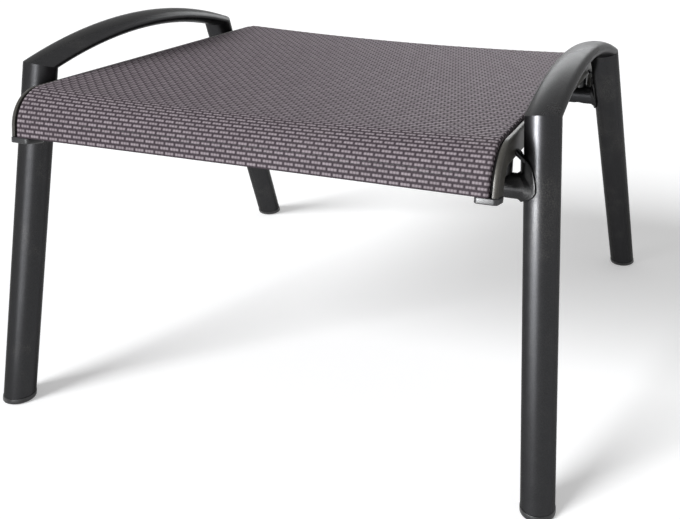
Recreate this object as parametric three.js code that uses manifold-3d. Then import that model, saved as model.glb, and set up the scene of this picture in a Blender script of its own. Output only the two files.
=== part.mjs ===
// Outdoor footstool: two welded tube side frames, two crossbars, and a woven sling held by two bent rails.
// Millimetres, +Z up. The front faces -Y and the floor is at z = 0.
import * as THREE from "three";
import { mergeVertices } from "three/addons/utils/BufferGeometryUtils.js";
import Module from "manifold-3d";

const wasm = await Module();
wasm.setup();

// Stance and side frames
const stanceWidth = 568; // between the centres of the left and right feet, on the floor
const stanceDepth = 578; // between the centres of the front and rear feet
const legDiameter = 32;
const legWall = 2;
const weldGap = 0.3; // what two pieces that touch keep between them
const jointWidth = 502; // between the two handrails at the height of their joints
const jointHeight = 340; // middle of the line from the front joint to the rear joint
const handrailSpan = 335; // from the front joint to the rear joint
const rearJointDrop = 12; // the rear joints are this much lower than the front ones
const deckForward = 46.5; // the seat's centre lies in front of the feet's centre

// Handrails: an oval tube, bent to a low arch, whose cut ends match the round legs
const handrailThickness = 16;
const handrailRise = 22;
const handrailWall = 2;

// Foot glides
const glideRim = 0.5; // overhang of the glide outside the leg
const glideHeight = 6.5;
const glidePlug = 14; // length inside the leg
const glidePlugClearance = 0.4;
const glideRimRise = 2.5; // where the rounded lower edge ends
const glideToeRise = 0.7;
const glideSoleShare = 0.84;
const glideToeShare = 0.95;

// Crossbars
const crossbarDiameter = 22;
const crossbarWall = 1.8;
const crossbarDepth = 58; // axis below the line of the joints
const crossbarLead = { front: 5, rear: 0 }; // axis in front of the leg's axis

// Brackets: a saddle welded round the leg's inner side, with an arm to the rail
const bracketWall = 2.2;
const bracketLap = 2; // how far the saddle rises past the end of the arm
const bracketFoot = 11; // below the axis of the crossbar
const bracketWrap = 2; // clear of the leg's centre plane where the saddle reaches farthest round
const bracketInset = 8; // clear of that plane at the saddle's top and foot
const bracketBack = 12; // how far the saddle reaches along the stool, past the leg's axis
const armThickness = 3;
const armWidth = 12;
const armSlope = THREE.MathUtils.degToRad(38);
const armRise = 8; // where the arm meets the rail, above the rail's underside
const armLeadShare = 0.5; // of the leg's radius, from its axis towards the stool's end

// Sling rails: an extruded profile with a slot for the sling's edge cord
const railClearance = 2.5; // from the inner side of the legs, at the height of the joints
const railWidth = 19;
const railHeight = 22;
const railTopDepth = 12.5; // top face below the line of the joints
const railNose = { front: 12, rear: 0.5 }; // straight length from the spacer to the bend
const railBendRadius = 37; // of the top face
const railBendAngle = THREE.MathUtils.degToRad(80);
const railEndLength = 9; // straight length after each bend
const railCorner = 3;
const railWall = 2;
const slotOffset = 3.3; // outboard of the rail's centre
const slotWidth = 3;
const boreDiameter = 7;
const boreDepth = 7; // centre below the top face
const boreWall = 1.8;
const chamberHeight = 7.5; // of the lower chamber, which takes the nut and the end cap's plug

// Sling and its edge cords
const slingThickness = 1.2;
const slingLift = 0.3; // above the rail's top face
const slingEdgeDepth = 3.9; // how far the turned edge reaches into the slot
const slingSag = 7; // at the middle of the seat
const slingHemSag = 2.5; // at the front and rear hems
const slingRestInset = 5; // where the sling leaves the rail, from the rail's inner face
const cordDiameter = 5;
const cordInset = 3; // from the rail's end

// End caps of the rails
const capThickness = 5.5;
const capOverhang = 0.7;
const capCorner = 4;
const capBevel = 1;
const capPlug = 8;
const capPlugClearance = 0.4;

// Bolts, nuts and spacers that hold the rails on the crossbars, with the bolt heads inside the tubes
const boltDiameter = 6;
const holeDiameter = 6.6;
const headDiameter = 10;
const headHeight = 5;
const accessDiameter = 12; // hole in the crossbar's underside, for the bolt and the tool
const socketAcross = 5; // across the flats of the hexagon socket
const socketDepth = 3;
const nutAcross = 10;
const nutHeight = 5;
const boltPastNut = 0.7;
const spacerDiameter = 15;

// Fineness of the round shapes
const legSides = 24;
const ovalSides = 24;
const archSteps = 12;
const smallSides = 20;
const boreSteps = 10;
const bendSteps = 9;
const flatSteps = 5;
const slingSteps = 12;
const cutOverrun = 30; // how far a cutter runs past what it cuts

const frameGrey = new THREE.MeshStandardMaterial({ color: 0x45474a, roughness: 0.42, metalness: 0.7 });
const plasticBlack = new THREE.MeshStandardMaterial({ color: 0x161618, roughness: 0.5, metalness: 0 });
const slingCloth = new THREE.MeshStandardMaterial({ color: 0x6f6569, roughness: 0.8, metalness: 0 });
const boltSteel = new THREE.MeshStandardMaterial({ color: 0x9b9da0, roughness: 0.35, metalness: 0.9 });

const legRadius = legDiameter / 2;
const crossbarRadius = crossbarDiameter / 2;
const railCentre = jointWidth / 2 - legRadius - railClearance - railWidth / 2;
const sides = { left: -1, right: 1 };
const ends = { front: -1, rear: 1 };

// The triangles of a sweep's end. A tube's wall gets a plain ring, which follows a round cope closely.
function endTriangles(outline, holes) {
  const count = outline.length;
  if (holes[0]?.length !== count) return THREE.ShapeUtils.triangulateShape(outline, holes);
  return outline.flatMap((_, a) => {
    const b = (a + 1) % count;
    const innerA = 2 * count - 1 - a;
    const innerB = 2 * count - 1 - b;
    return [[a, b, innerB], [a, innerB, innerA]];
  });
}

// Sweeps a flat shape through stations, each a function from a point of the shape to a point in space.
function sweep(shape, stations) {
  const { shape: outline, holes } = shape.extractPoints(1);
  const loops = [outline, ...holes];
  const flat = loops.flat();
  const points = stations.flatMap((station) => flat.map(station));
  const triangles = [];
  const last = (stations.length - 1) * flat.length;
  for (const [a, b, c] of endTriangles(outline, holes)) {
    triangles.push([c, b, a], [last + a, last + b, last + c]);
  }
  let first = 0;
  for (const loop of loops) {
    for (let ring = 0; ring < last; ring += flat.length) {
      loop.forEach((_, i) => {
        const a = ring + first + i;
        const b = ring + first + ((i + 1) % loop.length);
        triangles.push([a, b, b + flat.length], [a, b + flat.length, a + flat.length]);
      });
    }
    first += loop.length;
  }
  const volume = triangles.reduce(
    (sum, [a, b, c]) => sum + points[a].dot(points[b].clone().cross(points[c])),
    0,
  );
  if (volume < 0) triangles.forEach((triangle) => triangle.reverse());
  const geometry = new THREE.BufferGeometry().setFromPoints(points);
  geometry.setIndex(triangles.flat());
  geometry.computeVertexNormals();
  return geometry;
}

// A closed polygon as a shape, with the winding that a hole or an outline needs.
function polygon(points, clockwise = false) {
  const turned = THREE.ShapeUtils.isClockWise(points) === clockwise ? points : [...points].reverse();
  return new THREE.Shape(turned);
}

function ellipsePoints(halfWidth, halfHeight, count) {
  return Array.from({ length: count }, (_, i) => {
    const angle = ((i + 0.5) / count) * 2 * Math.PI;
    return new THREE.Vector2(halfWidth * Math.cos(angle), halfHeight * Math.sin(angle));
  });
}

function ovalSection(width, height, wall, count) {
  const shape = polygon(ellipsePoints(width / 2, height / 2, count));
  if (wall) shape.holes.push(polygon(ellipsePoints(width / 2 - wall, height / 2 - wall, count), true));
  return shape;
}

function roundedRectangle(left, bottom, right, top, radius) {
  const shape = new THREE.Shape();
  shape.moveTo(left + radius, bottom);
  shape.lineTo(right - radius, bottom);
  shape.quadraticCurveTo(right, bottom, right, bottom + radius);
  shape.lineTo(right, top - radius);
  shape.quadraticCurveTo(right, top, right - radius, top);
  shape.lineTo(left + radius, top);
  shape.quadraticCurveTo(left, top, left, top - radius);
  shape.lineTo(left, bottom + radius);
  shape.quadraticCurveTo(left, bottom, left + radius, bottom);
  return shape;
}

// Booleans
function solidOf(geometry) {
  const bare = geometry.clone();
  bare.deleteAttribute("normal");
  bare.deleteAttribute("uv");
  const merged = mergeVertices(bare);
  return new wasm.Manifold(
    new wasm.Mesh({
      numProp: 3,
      vertProperties: new Float32Array(merged.attributes.position.array),
      triVerts: new Uint32Array(merged.index.array),
    }),
  );
}

function geometryOf(solid) {
  const mesh = solid.getMesh();
  const geometry = new THREE.BufferGeometry();
  geometry.setAttribute("position", new THREE.BufferAttribute(mesh.vertProperties, 3));
  geometry.setIndex(new THREE.BufferAttribute(mesh.triVerts, 1));
  geometry.computeVertexNormals();
  return geometry;
}

function cut(geometry, ...cutters) {
  return geometryOf(cutters.reduce((solid, cutter) => solid.subtract(solidOf(cutter)), solidOf(geometry)));
}

// A cylinder between two points, used for bolts, holes and the legs' outer surfaces.
function cylinderBetween(start, end, radius, count) {
  const along = end.clone().sub(start);
  const geometry = new THREE.CylinderGeometry(radius, radius, along.length(), count);
  const turn = new THREE.Quaternion().setFromUnitVectors(
    new THREE.Vector3(0, 1, 0),
    along.clone().normalize(),
  );
  geometry.applyQuaternion(turn);
  const middle = start.clone().add(end).multiplyScalar(0.5);
  return geometry.translate(middle.x, middle.y, middle.z);
}

function addMesh(parent, name, geometry, material) {
  const mesh = new THREE.Mesh(geometry, material);
  mesh.name = name;
  parent.add(mesh);
  return mesh;
}

const stool = new THREE.Group();

// The deck is level across and falls a little to the rear. Its origin is midway between the joints.
const deckTilt = Math.asin(rearJointDrop / handrailSpan);
const deck = new THREE.Group();
deck.position.set(0, -deckForward, jointHeight);
deck.rotation.x = -deckTilt;
deck.updateMatrixWorld();
stool.add(deck);

// Each side frame is flat and leans inwards. Its group has x across the tubes, y along and z up the frame.
const sideLean = Math.atan2((stanceWidth - jointWidth) / 2, jointHeight);
const sideFrames = {};
for (const [side, sign] of Object.entries(sides)) {
  const group = new THREE.Group();
  group.position.x = (sign * stanceWidth) / 2;
  group.rotation.y = -sign * sideLean;
  group.updateMatrixWorld();
  stool.add(group);
  sideFrames[side] = group;
}

// The foot and the joint of a leg, in its side frame
const rungs = {};
for (const [end, sign] of Object.entries(ends)) {
  const joint = deck.localToWorld(new THREE.Vector3(0, (sign * handrailSpan) / 2, 0));
  const foot = new THREE.Vector3(0, (sign * stanceDepth) / 2, 0);
  joint.z /= Math.cos(sideLean);
  const axis = joint.clone().sub(foot).normalize();
  const across = new THREE.Vector3(0, axis.z, -axis.y);
  rungs[end] = { joint, foot, axis, across };
}

// Arc of the handrail in the side frame: centre, radius and half angle, from the two joints
const chord = rungs.rear.joint.clone().sub(rungs.front.joint);
const archAlong = chord.clone().normalize();
const archUp = new THREE.Vector3(0, -archAlong.z, archAlong.y);
const archRadius = (chord.length() ** 2 / 4 + handrailRise ** 2) / (2 * handrailRise);
const archHalfAngle = Math.asin(chord.length() / 2 / archRadius);
const archCentre = rungs.front.joint
  .clone()
  .add(rungs.rear.joint)
  .multiplyScalar(0.5)
  .addScaledVector(archUp, handrailRise - archRadius);

// The seam is cut at the angle at which the oval tube and the round leg show the same outline.
for (const [end, sign] of Object.entries(ends)) {
  const { axis, joint } = rungs[end];
  const lean = Math.atan2(-sign * axis.y, axis.z);
  const fall = archHalfAngle - sign * Math.asin(archAlong.z);
  const seam = Math.atan2(
    handrailThickness * Math.cos(lean) - legDiameter * Math.sin(fall),
    legDiameter * Math.cos(fall) - handrailThickness * Math.sin(lean),
  );
  const normal = new THREE.Vector3(0, -sign * Math.sin(seam), Math.cos(seam));
  rungs[end].seamNormal = normal;
  rungs[end].seamLevel = normal.dot(joint);
}

// A line of a leg's surface, and where it meets a flat cut
function legPoint(end, p, normal, level) {
  const { foot, axis, across } = rungs[end];
  const start = foot.clone().addScaledVector(across, p.y);
  start.x += p.x;
  const reach = (level - normal.dot(start)) / normal.dot(axis);
  return start.addScaledVector(axis, reach);
}

// The floor's direction as seen in a side frame
function floorNormal(side) {
  return new THREE.Vector3(sides[side] * Math.sin(sideLean), 0, Math.cos(sideLean));
}

function makeLeg(side, end) {
  const { seamNormal, seamLevel } = rungs[end];
  return sweep(ovalSection(legDiameter, legDiameter, legWall, legSides), [
    (p) => legPoint(end, p, floorNormal(side), glideHeight + weldGap),
    (p) => legPoint(end, p, seamNormal, seamLevel - weldGap / 2),
  ]);
}

function makeGlide(side, end) {
  const outer = legRadius + glideRim;
  const plug = legRadius - legWall - glidePlugClearance;
  const rings = [
    [outer * glideSoleShare, 0],
    [outer * glideToeShare, glideToeRise],
    [outer, glideRimRise],
    [outer, glideHeight],
    [plug, glideHeight],
    [plug, glideHeight + glidePlug],
  ];
  const stations = rings.map(([radius, height]) => (p) =>
    legPoint(end, p.clone().multiplyScalar(radius), floorNormal(side), height));
  return sweep(polygon(ellipsePoints(1, 1, legSides)), stations);
}

// Where the arc at this distance from the centre line meets a joint's seam
function archAngle(end, offset) {
  const { seamNormal, seamLevel } = rungs[end];
  const radius = archRadius + offset;
  const up = radius * seamNormal.dot(archUp);
  const along = radius * seamNormal.dot(archAlong);
  const reach = seamLevel + weldGap / 2 - seamNormal.dot(archCentre);
  return Math.atan2(along, up) + ends[end] * Math.acos(reach / Math.hypot(up, along));
}

function makeHandrail() {
  const stations = Array.from({ length: archSteps + 1 }, (_, step) => (p) => {
    const angle = THREE.MathUtils.lerp(archAngle("front", p.y), archAngle("rear", p.y), step / archSteps);
    const point = archCentre
      .clone()
      .addScaledVector(archUp, (archRadius + p.y) * Math.cos(angle))
      .addScaledVector(archAlong, (archRadius + p.y) * Math.sin(angle));
    point.x += p.x;
    return point;
  });
  return sweep(ovalSection(legDiameter, handrailThickness, handrailWall, ovalSides), stations);
}

for (const side of Object.keys(sides)) {
  for (const end of Object.keys(ends)) {
    addMesh(sideFrames[side], `leg_${end}_${side}`, makeLeg(side, end), frameGrey);
    addMesh(sideFrames[side], `foot_glide_${end}_${side}`, makeGlide(side, end), plasticBlack);
  }
  addMesh(sideFrames[side], `handrail_${side}`, makeHandrail(), frameGrey);
}

// A leg's axis in the deck's own frame: a point on it and its direction
function legAxisOnDeck(side, end) {
  const foot = deck.worldToLocal(sideFrames[side].localToWorld(rungs[end].foot.clone()));
  const joint = deck.worldToLocal(sideFrames[side].localToWorld(rungs[end].joint.clone()));
  return { foot, joint, direction: joint.clone().sub(foot).normalize() };
}

// The point of a leg's axis at a height on the deck
function legAt(side, end, level) {
  const { joint, direction } = legAxisOnDeck(side, end);
  return joint.clone().addScaledVector(direction, (level - joint.z) / direction.z);
}

// Where a line across the stool meets the saddle of the leg at its end
function copeAt(side, end, y, z) {
  const { joint, direction } = legAxisOnDeck(side, end);
  const radius = legRadius + weldGap + bracketWall + weldGap;
  const start = new THREE.Vector3(0, y, z).sub(joint);
  const flat = start.clone().addScaledVector(direction, -start.dot(direction));
  const step = new THREE.Vector3(1, 0, 0).addScaledVector(direction, -direction.x);
  const a = step.dot(step);
  const b = flat.dot(step);
  const c = flat.dot(flat) - radius ** 2;
  return (-b - sides[side] * Math.sqrt(b ** 2 - a * c)) / a;
}

const crossbarY = {};
for (const end of Object.keys(ends)) crossbarY[end] = legAt("right", end, -crossbarDepth).y - crossbarLead[end];

const railUnderside = -railTopDepth - railHeight;
const chamberFloor = railUnderside + railWall;
const crossbarBore = crossbarRadius - crossbarWall;
const headTop = -crossbarDepth + Math.sqrt(crossbarBore ** 2 - (headDiameter / 2) ** 2) - weldGap;

// An upright cylinder on the deck, at a place where a bolt goes through
function boltHole(x, y, bottom, top, diameter) {
  return cylinderBetween(
    new THREE.Vector3(x, y, bottom),
    new THREE.Vector3(x, y, top),
    diameter / 2,
    smallSides,
  );
}

function makeCrossbar(end) {
  const section = ovalSection(crossbarDiameter, crossbarDiameter, crossbarWall, smallSides);
  const stations = Object.keys(sides).map((side) => (p) => {
    const y = crossbarY[end] + p.x;
    const z = p.y - crossbarDepth;
    return new THREE.Vector3(copeAt(side, end, y, z), y, z);
  });
  const holes = Object.values(sides).flatMap((sign) => [
    boltHole(sign * railCentre, crossbarY[end], -crossbarDepth, railUnderside, holeDiameter),
    boltHole(sign * railCentre, crossbarY[end], -crossbarDepth - cutOverrun, -crossbarDepth, accessDiameter),
  ]);
  return cut(sweep(section, stations), ...holes);
}

for (const end of Object.keys(ends)) {
  addMesh(deck, `crossbar_${end}`, makeCrossbar(end), frameGrey);
}

// The saddle's outline, seen from the stool's end: u outwards from the leg's axis, v up from the crossbar's
function saddleOutline(top) {
  const inner = -legDiameter;
  const outline = new THREE.Shape();
  outline.moveTo(inner, top);
  outline.lineTo(-bracketInset, top);
  outline.bezierCurveTo(-bracketWrap, top / 2, 0, 0, -bracketWrap, -bracketFoot / 2);
  outline.quadraticCurveTo(-bracketWrap * 2, -bracketFoot, -bracketInset, -bracketFoot);
  outline.lineTo(inner, -bracketFoot);
  return outline.getPoints(5);
}

// Bracket: the part of a sleeve round the leg that lies inside the saddle's outline, and an arm
function makeBracket(side, end) {
  const sign = sides[side];
  const { direction } = legAxisOnDeck(side, end);
  const centre = legAt(side, end, -crossbarDepth);
  const sleeve = (radius, reach) =>
    cylinderBetween(
      centre.clone().addScaledVector(direction, -reach),
      centre.clone().addScaledVector(direction, reach),
      radius,
      legSides,
    );

  const roomRadius = legRadius + weldGap;
  const lead = legRadius * armLeadShare;
  const armStart = railCentre + railWidth / 2 + weldGap;
  const armTop = railUnderside + armRise;
  const armAxis = legAt(side, end, armTop);
  const reach = Math.abs(armAxis.x) - armStart;
  const meet = reach - Math.sqrt(roomRadius ** 2 - (lead + armWidth / 2) ** 2);
  const fall = Math.tan(armSlope);
  const depth = armThickness / Math.cos(armSlope);
  const bar = polygon([
    new THREE.Vector2(sign * armStart, armTop),
    new THREE.Vector2(sign * armStart, armTop - depth),
    new THREE.Vector2(sign * (armStart + reach), armTop - reach * fall - depth),
    new THREE.Vector2(sign * (armStart + reach), armTop - reach * fall),
  ]);
  const armY = legAt(side, end, armTop - meet * fall).y + ends[end] * lead;
  const arm = sweep(bar, [
    (p) => new THREE.Vector3(p.x, armY - armWidth / 2, p.y),
    (p) => new THREE.Vector3(p.x, armY + armWidth / 2, p.y),
  ]);

  const saddleTop = armTop - meet * fall + crossbarDepth + bracketLap;
  const climb = direction.clone().divideScalar(direction.z);
  const block = sweep(
    polygon(saddleOutline(saddleTop)),
    [ends[end] * legDiameter, -ends[end] * bracketBack].map((along) => (p) =>
      new THREE.Vector3(sign * p.x, along, 0).add(centre).addScaledVector(climb, p.y)),
  );
  const saddle = solidOf(sleeve(roomRadius + bracketWall, saddleTop * 2)).intersect(solidOf(block));
  const legRoom = solidOf(sleeve(roomRadius, saddleTop * 2 + cutOverrun));
  return geometryOf(saddle.add(solidOf(arm)).subtract(legRoom));
}

for (const side of Object.keys(sides)) {
  for (const end of Object.keys(ends)) {
    addMesh(deck, `rail_bracket_${end}_${side}`, makeBracket(side, end), frameGrey);
  }
}

// The rails' straight stretch, from bend to bend
const flatStart = crossbarY.front - spacerDiameter / 2 - railNose.front;
const flatEnd = crossbarY.rear + spacerDiameter / 2 + railNose.rear;
const railMiddle = (flatStart + flatEnd) / 2;
const railFlat = flatEnd - flatStart;

// The line of the rails' top face, from the front end to the rear end, less an inset at both ends.
// y counts from the rails' middle, and tilt is the fall towards the rear.
function railLine(flatCount, inset = 0) {
  const line = [];
  for (let step = 0; step <= bendSteps; step += 1) {
    const tilt = -railBendAngle * (1 - step / bendSteps);
    line.push({
      y: -railFlat / 2 + railBendRadius * Math.sin(tilt),
      z: -railTopDepth - railBendRadius * (1 - Math.cos(tilt)),
      tilt,
    });
  }
  const [bendEnd] = line;
  line.unshift({
    y: bendEnd.y - (railEndLength - inset) * Math.cos(bendEnd.tilt),
    z: bendEnd.z + (railEndLength - inset) * Math.sin(bendEnd.tilt),
    tilt: bendEnd.tilt,
  });
  const rear = line.map(({ y, z, tilt }) => ({ y: -y, z, tilt: -tilt })).reverse();
  for (let step = 1; step < flatCount; step += 1) {
    line.push({ y: railFlat * (step / flatCount - 0.5), z: -railTopDepth, tilt: 0 });
  }
  return [...line, ...rear];
}

// A station of the rails: x across the stool, and height above the rail's top face
function railStation({ y, z, tilt }, x, height) {
  return new THREE.Vector3(x, railMiddle + y + height * Math.sin(tilt), z + height * Math.cos(tilt));
}

function railSection() {
  const half = railWidth / 2;
  const boreRadius = boreDiameter / 2;
  const mouth = Math.asin(slotWidth / 2 / boreRadius);
  const bore = Array.from({ length: boreSteps + 1 }, (_, i) => {
    const angle = Math.PI / 2 + mouth + ((2 * Math.PI - 2 * mouth) * i) / boreSteps;
    return new THREE.Vector2(
      slotOffset + boreRadius * Math.cos(angle),
      -boreDepth + boreRadius * Math.sin(angle),
    );
  });
  const corners = roundedRectangle(-half, -railHeight, half, 0, railCorner).getPoints(3);
  const top = corners.findIndex((p) => p.y === 0);
  const outline = [
    ...corners.slice(0, top + 1),
    new THREE.Vector2(slotOffset + slotWidth / 2, 0),
    ...bore.reverse(),
    new THREE.Vector2(slotOffset - slotWidth / 2, 0),
    ...corners.slice(top + 1, -1),
  ];
  const shape = polygon(outline);
  const left = -half + railWall;
  const right = half - railWall;
  const floor = -railHeight + railWall;
  const step = slotOffset - boreRadius - boreWall;
  const chamber = [
    [left, floor],
    [right, floor],
    [right, floor + chamberHeight],
    [step, floor + chamberHeight],
    [step, -railWall],
    [left, -railWall],
  ].map(([x, y]) => new THREE.Vector2(x, y));
  shape.holes.push(polygon(chamber, true));
  return shape;
}

function makeRail(sign) {
  const stations = railLine(1).map((place) => (p) => railStation(place, sign * (railCentre + p.x), p.y));
  const holes = Object.keys(ends).map((end) =>
    boltHole(sign * railCentre, crossbarY[end], -crossbarDepth, chamberFloor + weldGap, holeDiameter));
  return cut(sweep(railSection(), stations), ...holes);
}

function makeCord(sign) {
  const stations = railLine(1, cordInset).map((place) => (p) =>
    railStation(place, sign * (railCentre + slotOffset) + p.x, p.y - boreDepth));
  return sweep(polygon(ellipsePoints(cordDiameter / 2, cordDiameter / 2, 8)), stations);
}

for (const [side, sign] of Object.entries(sides)) {
  addMesh(deck, `sling_rail_${side}`, makeRail(sign), frameGrey);
  addMesh(deck, `edge_cord_${side}`, makeCord(sign), plasticBlack);
}

// The sling: flat over the rails' inner half, turned down into both slots, and hanging a little between them
function makeSling() {
  const edge = railCentre + slotOffset;
  const outer = edge + slingThickness / 2;
  const inner = edge - slingThickness / 2;
  const rest = railCentre - railWidth / 2 + slingRestInset;
  const across = Array.from({ length: slingSteps + 1 }, (_, i) => rest * ((2 * i) / slingSteps - 1));
  const section = polygon(
    [
      [-outer, -slingEdgeDepth],
      [-inner, -slingEdgeDepth],
      [-inner, 0],
      ...across.map((x) => [x, 0]),
      [inner, 0],
      [inner, -slingEdgeDepth],
      [outer, -slingEdgeDepth],
      [outer, slingThickness / 2],
      [inner, slingThickness],
      ...across.map((x) => [-x, slingThickness]),
      [-inner, slingThickness],
      [-outer, slingThickness / 2],
    ].map(([x, y]) => new THREE.Vector2(x, y)),
  );
  const stations = railLine(flatSteps).map((place) => {
    const level = (Math.cos(place.tilt) - Math.cos(railBendAngle)) / (1 - Math.cos(railBendAngle));
    const middle = 1 - (2 * place.y / railFlat) ** 2;
    const sag = slingHemSag + (slingSag - slingHemSag) * (0.5 * level + 0.5 * Math.max(0, middle));
    return (p) => {
      const hang = Math.max(0, 1 - (p.x / rest) ** 2);
      return railStation(place, p.x, p.y + slingLift - sag * hang);
    };
  });
  return sweep(section, stations);
}

addMesh(deck, "sling", makeSling(), slingCloth);

// End cap: a rounded plate over the rail's end, and a plug in its lower chamber
function makeCap() {
  const half = railWidth / 2 + capOverhang - capBevel;
  const plate = new THREE.ExtrudeGeometry(
    roundedRectangle(-half, capBevel - railHeight - capOverhang, half, capOverhang - capBevel, capCorner),
    {
      depth: capThickness - 2 * capBevel,
      bevelThickness: capBevel,
      bevelSize: capBevel,
      bevelSegments: 2,
      curveSegments: 4,
    },
  ).translate(0, 0, capBevel + weldGap);
  const plugWidth = railWidth - 2 * railWall - 2 * capPlugClearance;
  const plugHeight = chamberHeight - 2 * capPlugClearance;
  const plugLength = capPlug + weldGap + capThickness / 2;
  const plugMiddle = railWall + chamberHeight / 2 - railHeight;
  const plug = new THREE.BoxGeometry(plugWidth, plugHeight, plugLength).translate(
    0,
    plugMiddle,
    weldGap + capThickness / 2 - plugLength / 2,
  );
  return geometryOf(solidOf(plate).add(solidOf(plug)));
}

for (const [side, sign] of Object.entries(sides)) {
  for (const [end, way] of Object.entries(ends)) {
    const cap = addMesh(deck, `rail_cap_${end}_${side}`, makeCap(), plasticBlack);
    const place = railLine(1).at(way < 0 ? 0 : -1);
    const up = new THREE.Vector3(0, Math.sin(place.tilt), Math.cos(place.tilt));
    const out = new THREE.Vector3(0, way * Math.cos(place.tilt), -way * Math.sin(place.tilt));
    const basis = new THREE.Matrix4().makeBasis(up.clone().cross(out), up, out);
    cap.quaternion.setFromRotationMatrix(basis);
    cap.position.set(sign * railCentre, railMiddle + place.y, place.z);
  }
}

// Fasteners, drawn with z up the bolt and z = 0 on the crossbar's axis
const nutBottom = chamberFloor + weldGap + crossbarDepth;
const boltTop = nutBottom + nutHeight + boltPastNut;

function makeBolt() {
  const head = headDiameter / 2;
  const shank = boltDiameter / 2;
  const seat = headTop + crossbarDepth;
  const profile = [
    [0, seat - headHeight],
    [head, seat - headHeight],
    [head, seat],
    [shank, seat],
    [shank, boltTop],
    [0, boltTop],
  ].map(([x, y]) => new THREE.Vector2(x, y));
  const bolt = new THREE.LatheGeometry(profile, smallSides).rotateX(Math.PI / 2);
  const socket = cylinderBetween(
    new THREE.Vector3(0, 0, seat - headHeight - cutOverrun),
    new THREE.Vector3(0, 0, seat - headHeight + socketDepth),
    socketAcross / Math.sqrt(3),
    6,
  );
  return cut(bolt, socket);
}

function drill() {
  return cylinderBetween(
    new THREE.Vector3(0, 0, -cutOverrun),
    new THREE.Vector3(0, 0, boltTop + cutOverrun),
    holeDiameter / 2,
    smallSides,
  );
}

function makeNut() {
  const body = cylinderBetween(
    new THREE.Vector3(0, 0, nutBottom),
    new THREE.Vector3(0, 0, nutBottom + nutHeight),
    nutAcross / Math.sqrt(3),
    6,
  );
  return cut(body, drill());
}

function makeSpacer() {
  const body = cylinderBetween(
    new THREE.Vector3(0, 0, 0),
    new THREE.Vector3(0, 0, railUnderside + crossbarDepth - weldGap),
    spacerDiameter / 2,
    smallSides,
  );
  const crossbarRoom = cylinderBetween(
    new THREE.Vector3(-cutOverrun, 0, 0),
    new THREE.Vector3(cutOverrun, 0, 0),
    crossbarRadius + weldGap,
    2 * smallSides,
  );
  return cut(body, crossbarRoom, drill());
}

for (const [side, sign] of Object.entries(sides)) {
  for (const end of Object.keys(ends)) {
    const stack = new THREE.Group();
    stack.position.set(sign * railCentre, crossbarY[end], -crossbarDepth);
    deck.add(stack);
    addMesh(stack, `rail_bolt_${end}_${side}`, makeBolt(), boltSteel);
    addMesh(stack, `rail_nut_${end}_${side}`, makeNut(), boltSteel);
    addMesh(stack, `rail_spacer_${end}_${side}`, makeSpacer(), plasticBlack);
  }
}

// The origin is on the floor, at the middle of the whole stool.
stool.updateMatrixWorld(true);
const box = new THREE.Box3().setFromObject(stool, true);
stool.position.set(-(box.min.x + box.max.x) / 2, -(box.min.y + box.max.y) / 2, 0);
stool.updateMatrixWorld(true);

export default stool;
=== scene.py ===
# %% [markdown]
# # An outdoor footstool with a woven sling
#
# The stool has two side frames of painted aluminium tube, two crossbars between them, and a sling of coarse
# woven cloth that two bent rails hold at its edges. This file dresses the measured frame: it reads where
# every tube, rail and cap is, and builds a fine visible piece there. All lengths are in metres, with Z up.

# %% Load the measured frame
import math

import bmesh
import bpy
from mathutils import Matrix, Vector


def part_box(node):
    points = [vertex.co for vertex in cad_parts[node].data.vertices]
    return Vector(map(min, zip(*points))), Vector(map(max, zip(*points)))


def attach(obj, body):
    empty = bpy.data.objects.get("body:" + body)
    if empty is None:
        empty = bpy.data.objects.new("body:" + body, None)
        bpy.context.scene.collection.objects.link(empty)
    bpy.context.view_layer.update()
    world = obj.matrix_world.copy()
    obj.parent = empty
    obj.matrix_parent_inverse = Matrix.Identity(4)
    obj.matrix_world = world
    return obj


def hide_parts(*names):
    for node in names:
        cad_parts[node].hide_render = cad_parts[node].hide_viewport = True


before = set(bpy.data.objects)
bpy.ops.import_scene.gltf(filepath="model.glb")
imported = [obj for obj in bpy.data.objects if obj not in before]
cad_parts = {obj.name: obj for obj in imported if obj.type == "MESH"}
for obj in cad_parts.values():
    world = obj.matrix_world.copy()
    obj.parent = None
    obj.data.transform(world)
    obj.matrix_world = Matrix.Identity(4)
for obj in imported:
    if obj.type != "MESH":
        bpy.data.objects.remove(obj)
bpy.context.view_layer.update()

# %% [markdown]
# ## Tools and names
#
# Blender's own modules do the work. The measured lengths are easier to read in millimetres, so MM turns
# them into metres. The stool is the same at left and right, and nearly so at front and rear. Two small
# tables give the sign of each side and each end, so that one loop can make all four legs.

MM = 0.001
SIDES = {"left": -1, "right": 1}
ENDS = {"front": -1, "rear": 1}


# %% [markdown]
# ## Helpers for measuring the frame
#
# A builder on a bench would lay a rule on the bare frame before making covers for it. The same is done
# here. A tube of the frame has one ring of points at each end, so the middle of a ring is a point of the
# tube's axis. Measuring is safer than typing places again, because the pieces then follow the frame if it
# changes.

# %% Points, rings and planes of a frame node
def node_points(node):
    """Every different corner point of a frame node."""
    found = {tuple(round(c, 7) for c in vertex.co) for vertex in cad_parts[node].data.vertices}
    return [Vector(p) for p in sorted(found)]


def middle(points):
    return sum(points, Vector()) / len(points)


def plane_normal(points):
    """The upward normal of points that lie on one plane."""
    centre = middle(points)
    far = max((p - centre for p in points), key=lambda arm: arm.length)
    side = max((p - centre for p in points), key=lambda arm: arm.cross(far).length)
    normal = far.cross(side).normalized()
    return normal if normal.z > 0 else -normal


def ring_pair(node):
    """The lower and upper ring of a straight tube that stands more or less upright."""
    points = node_points(node)
    level = (min(p.z for p in points) + max(p.z for p in points)) / 2
    return [p for p in points if p.z < level], [p for p in points if p.z >= level]


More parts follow.
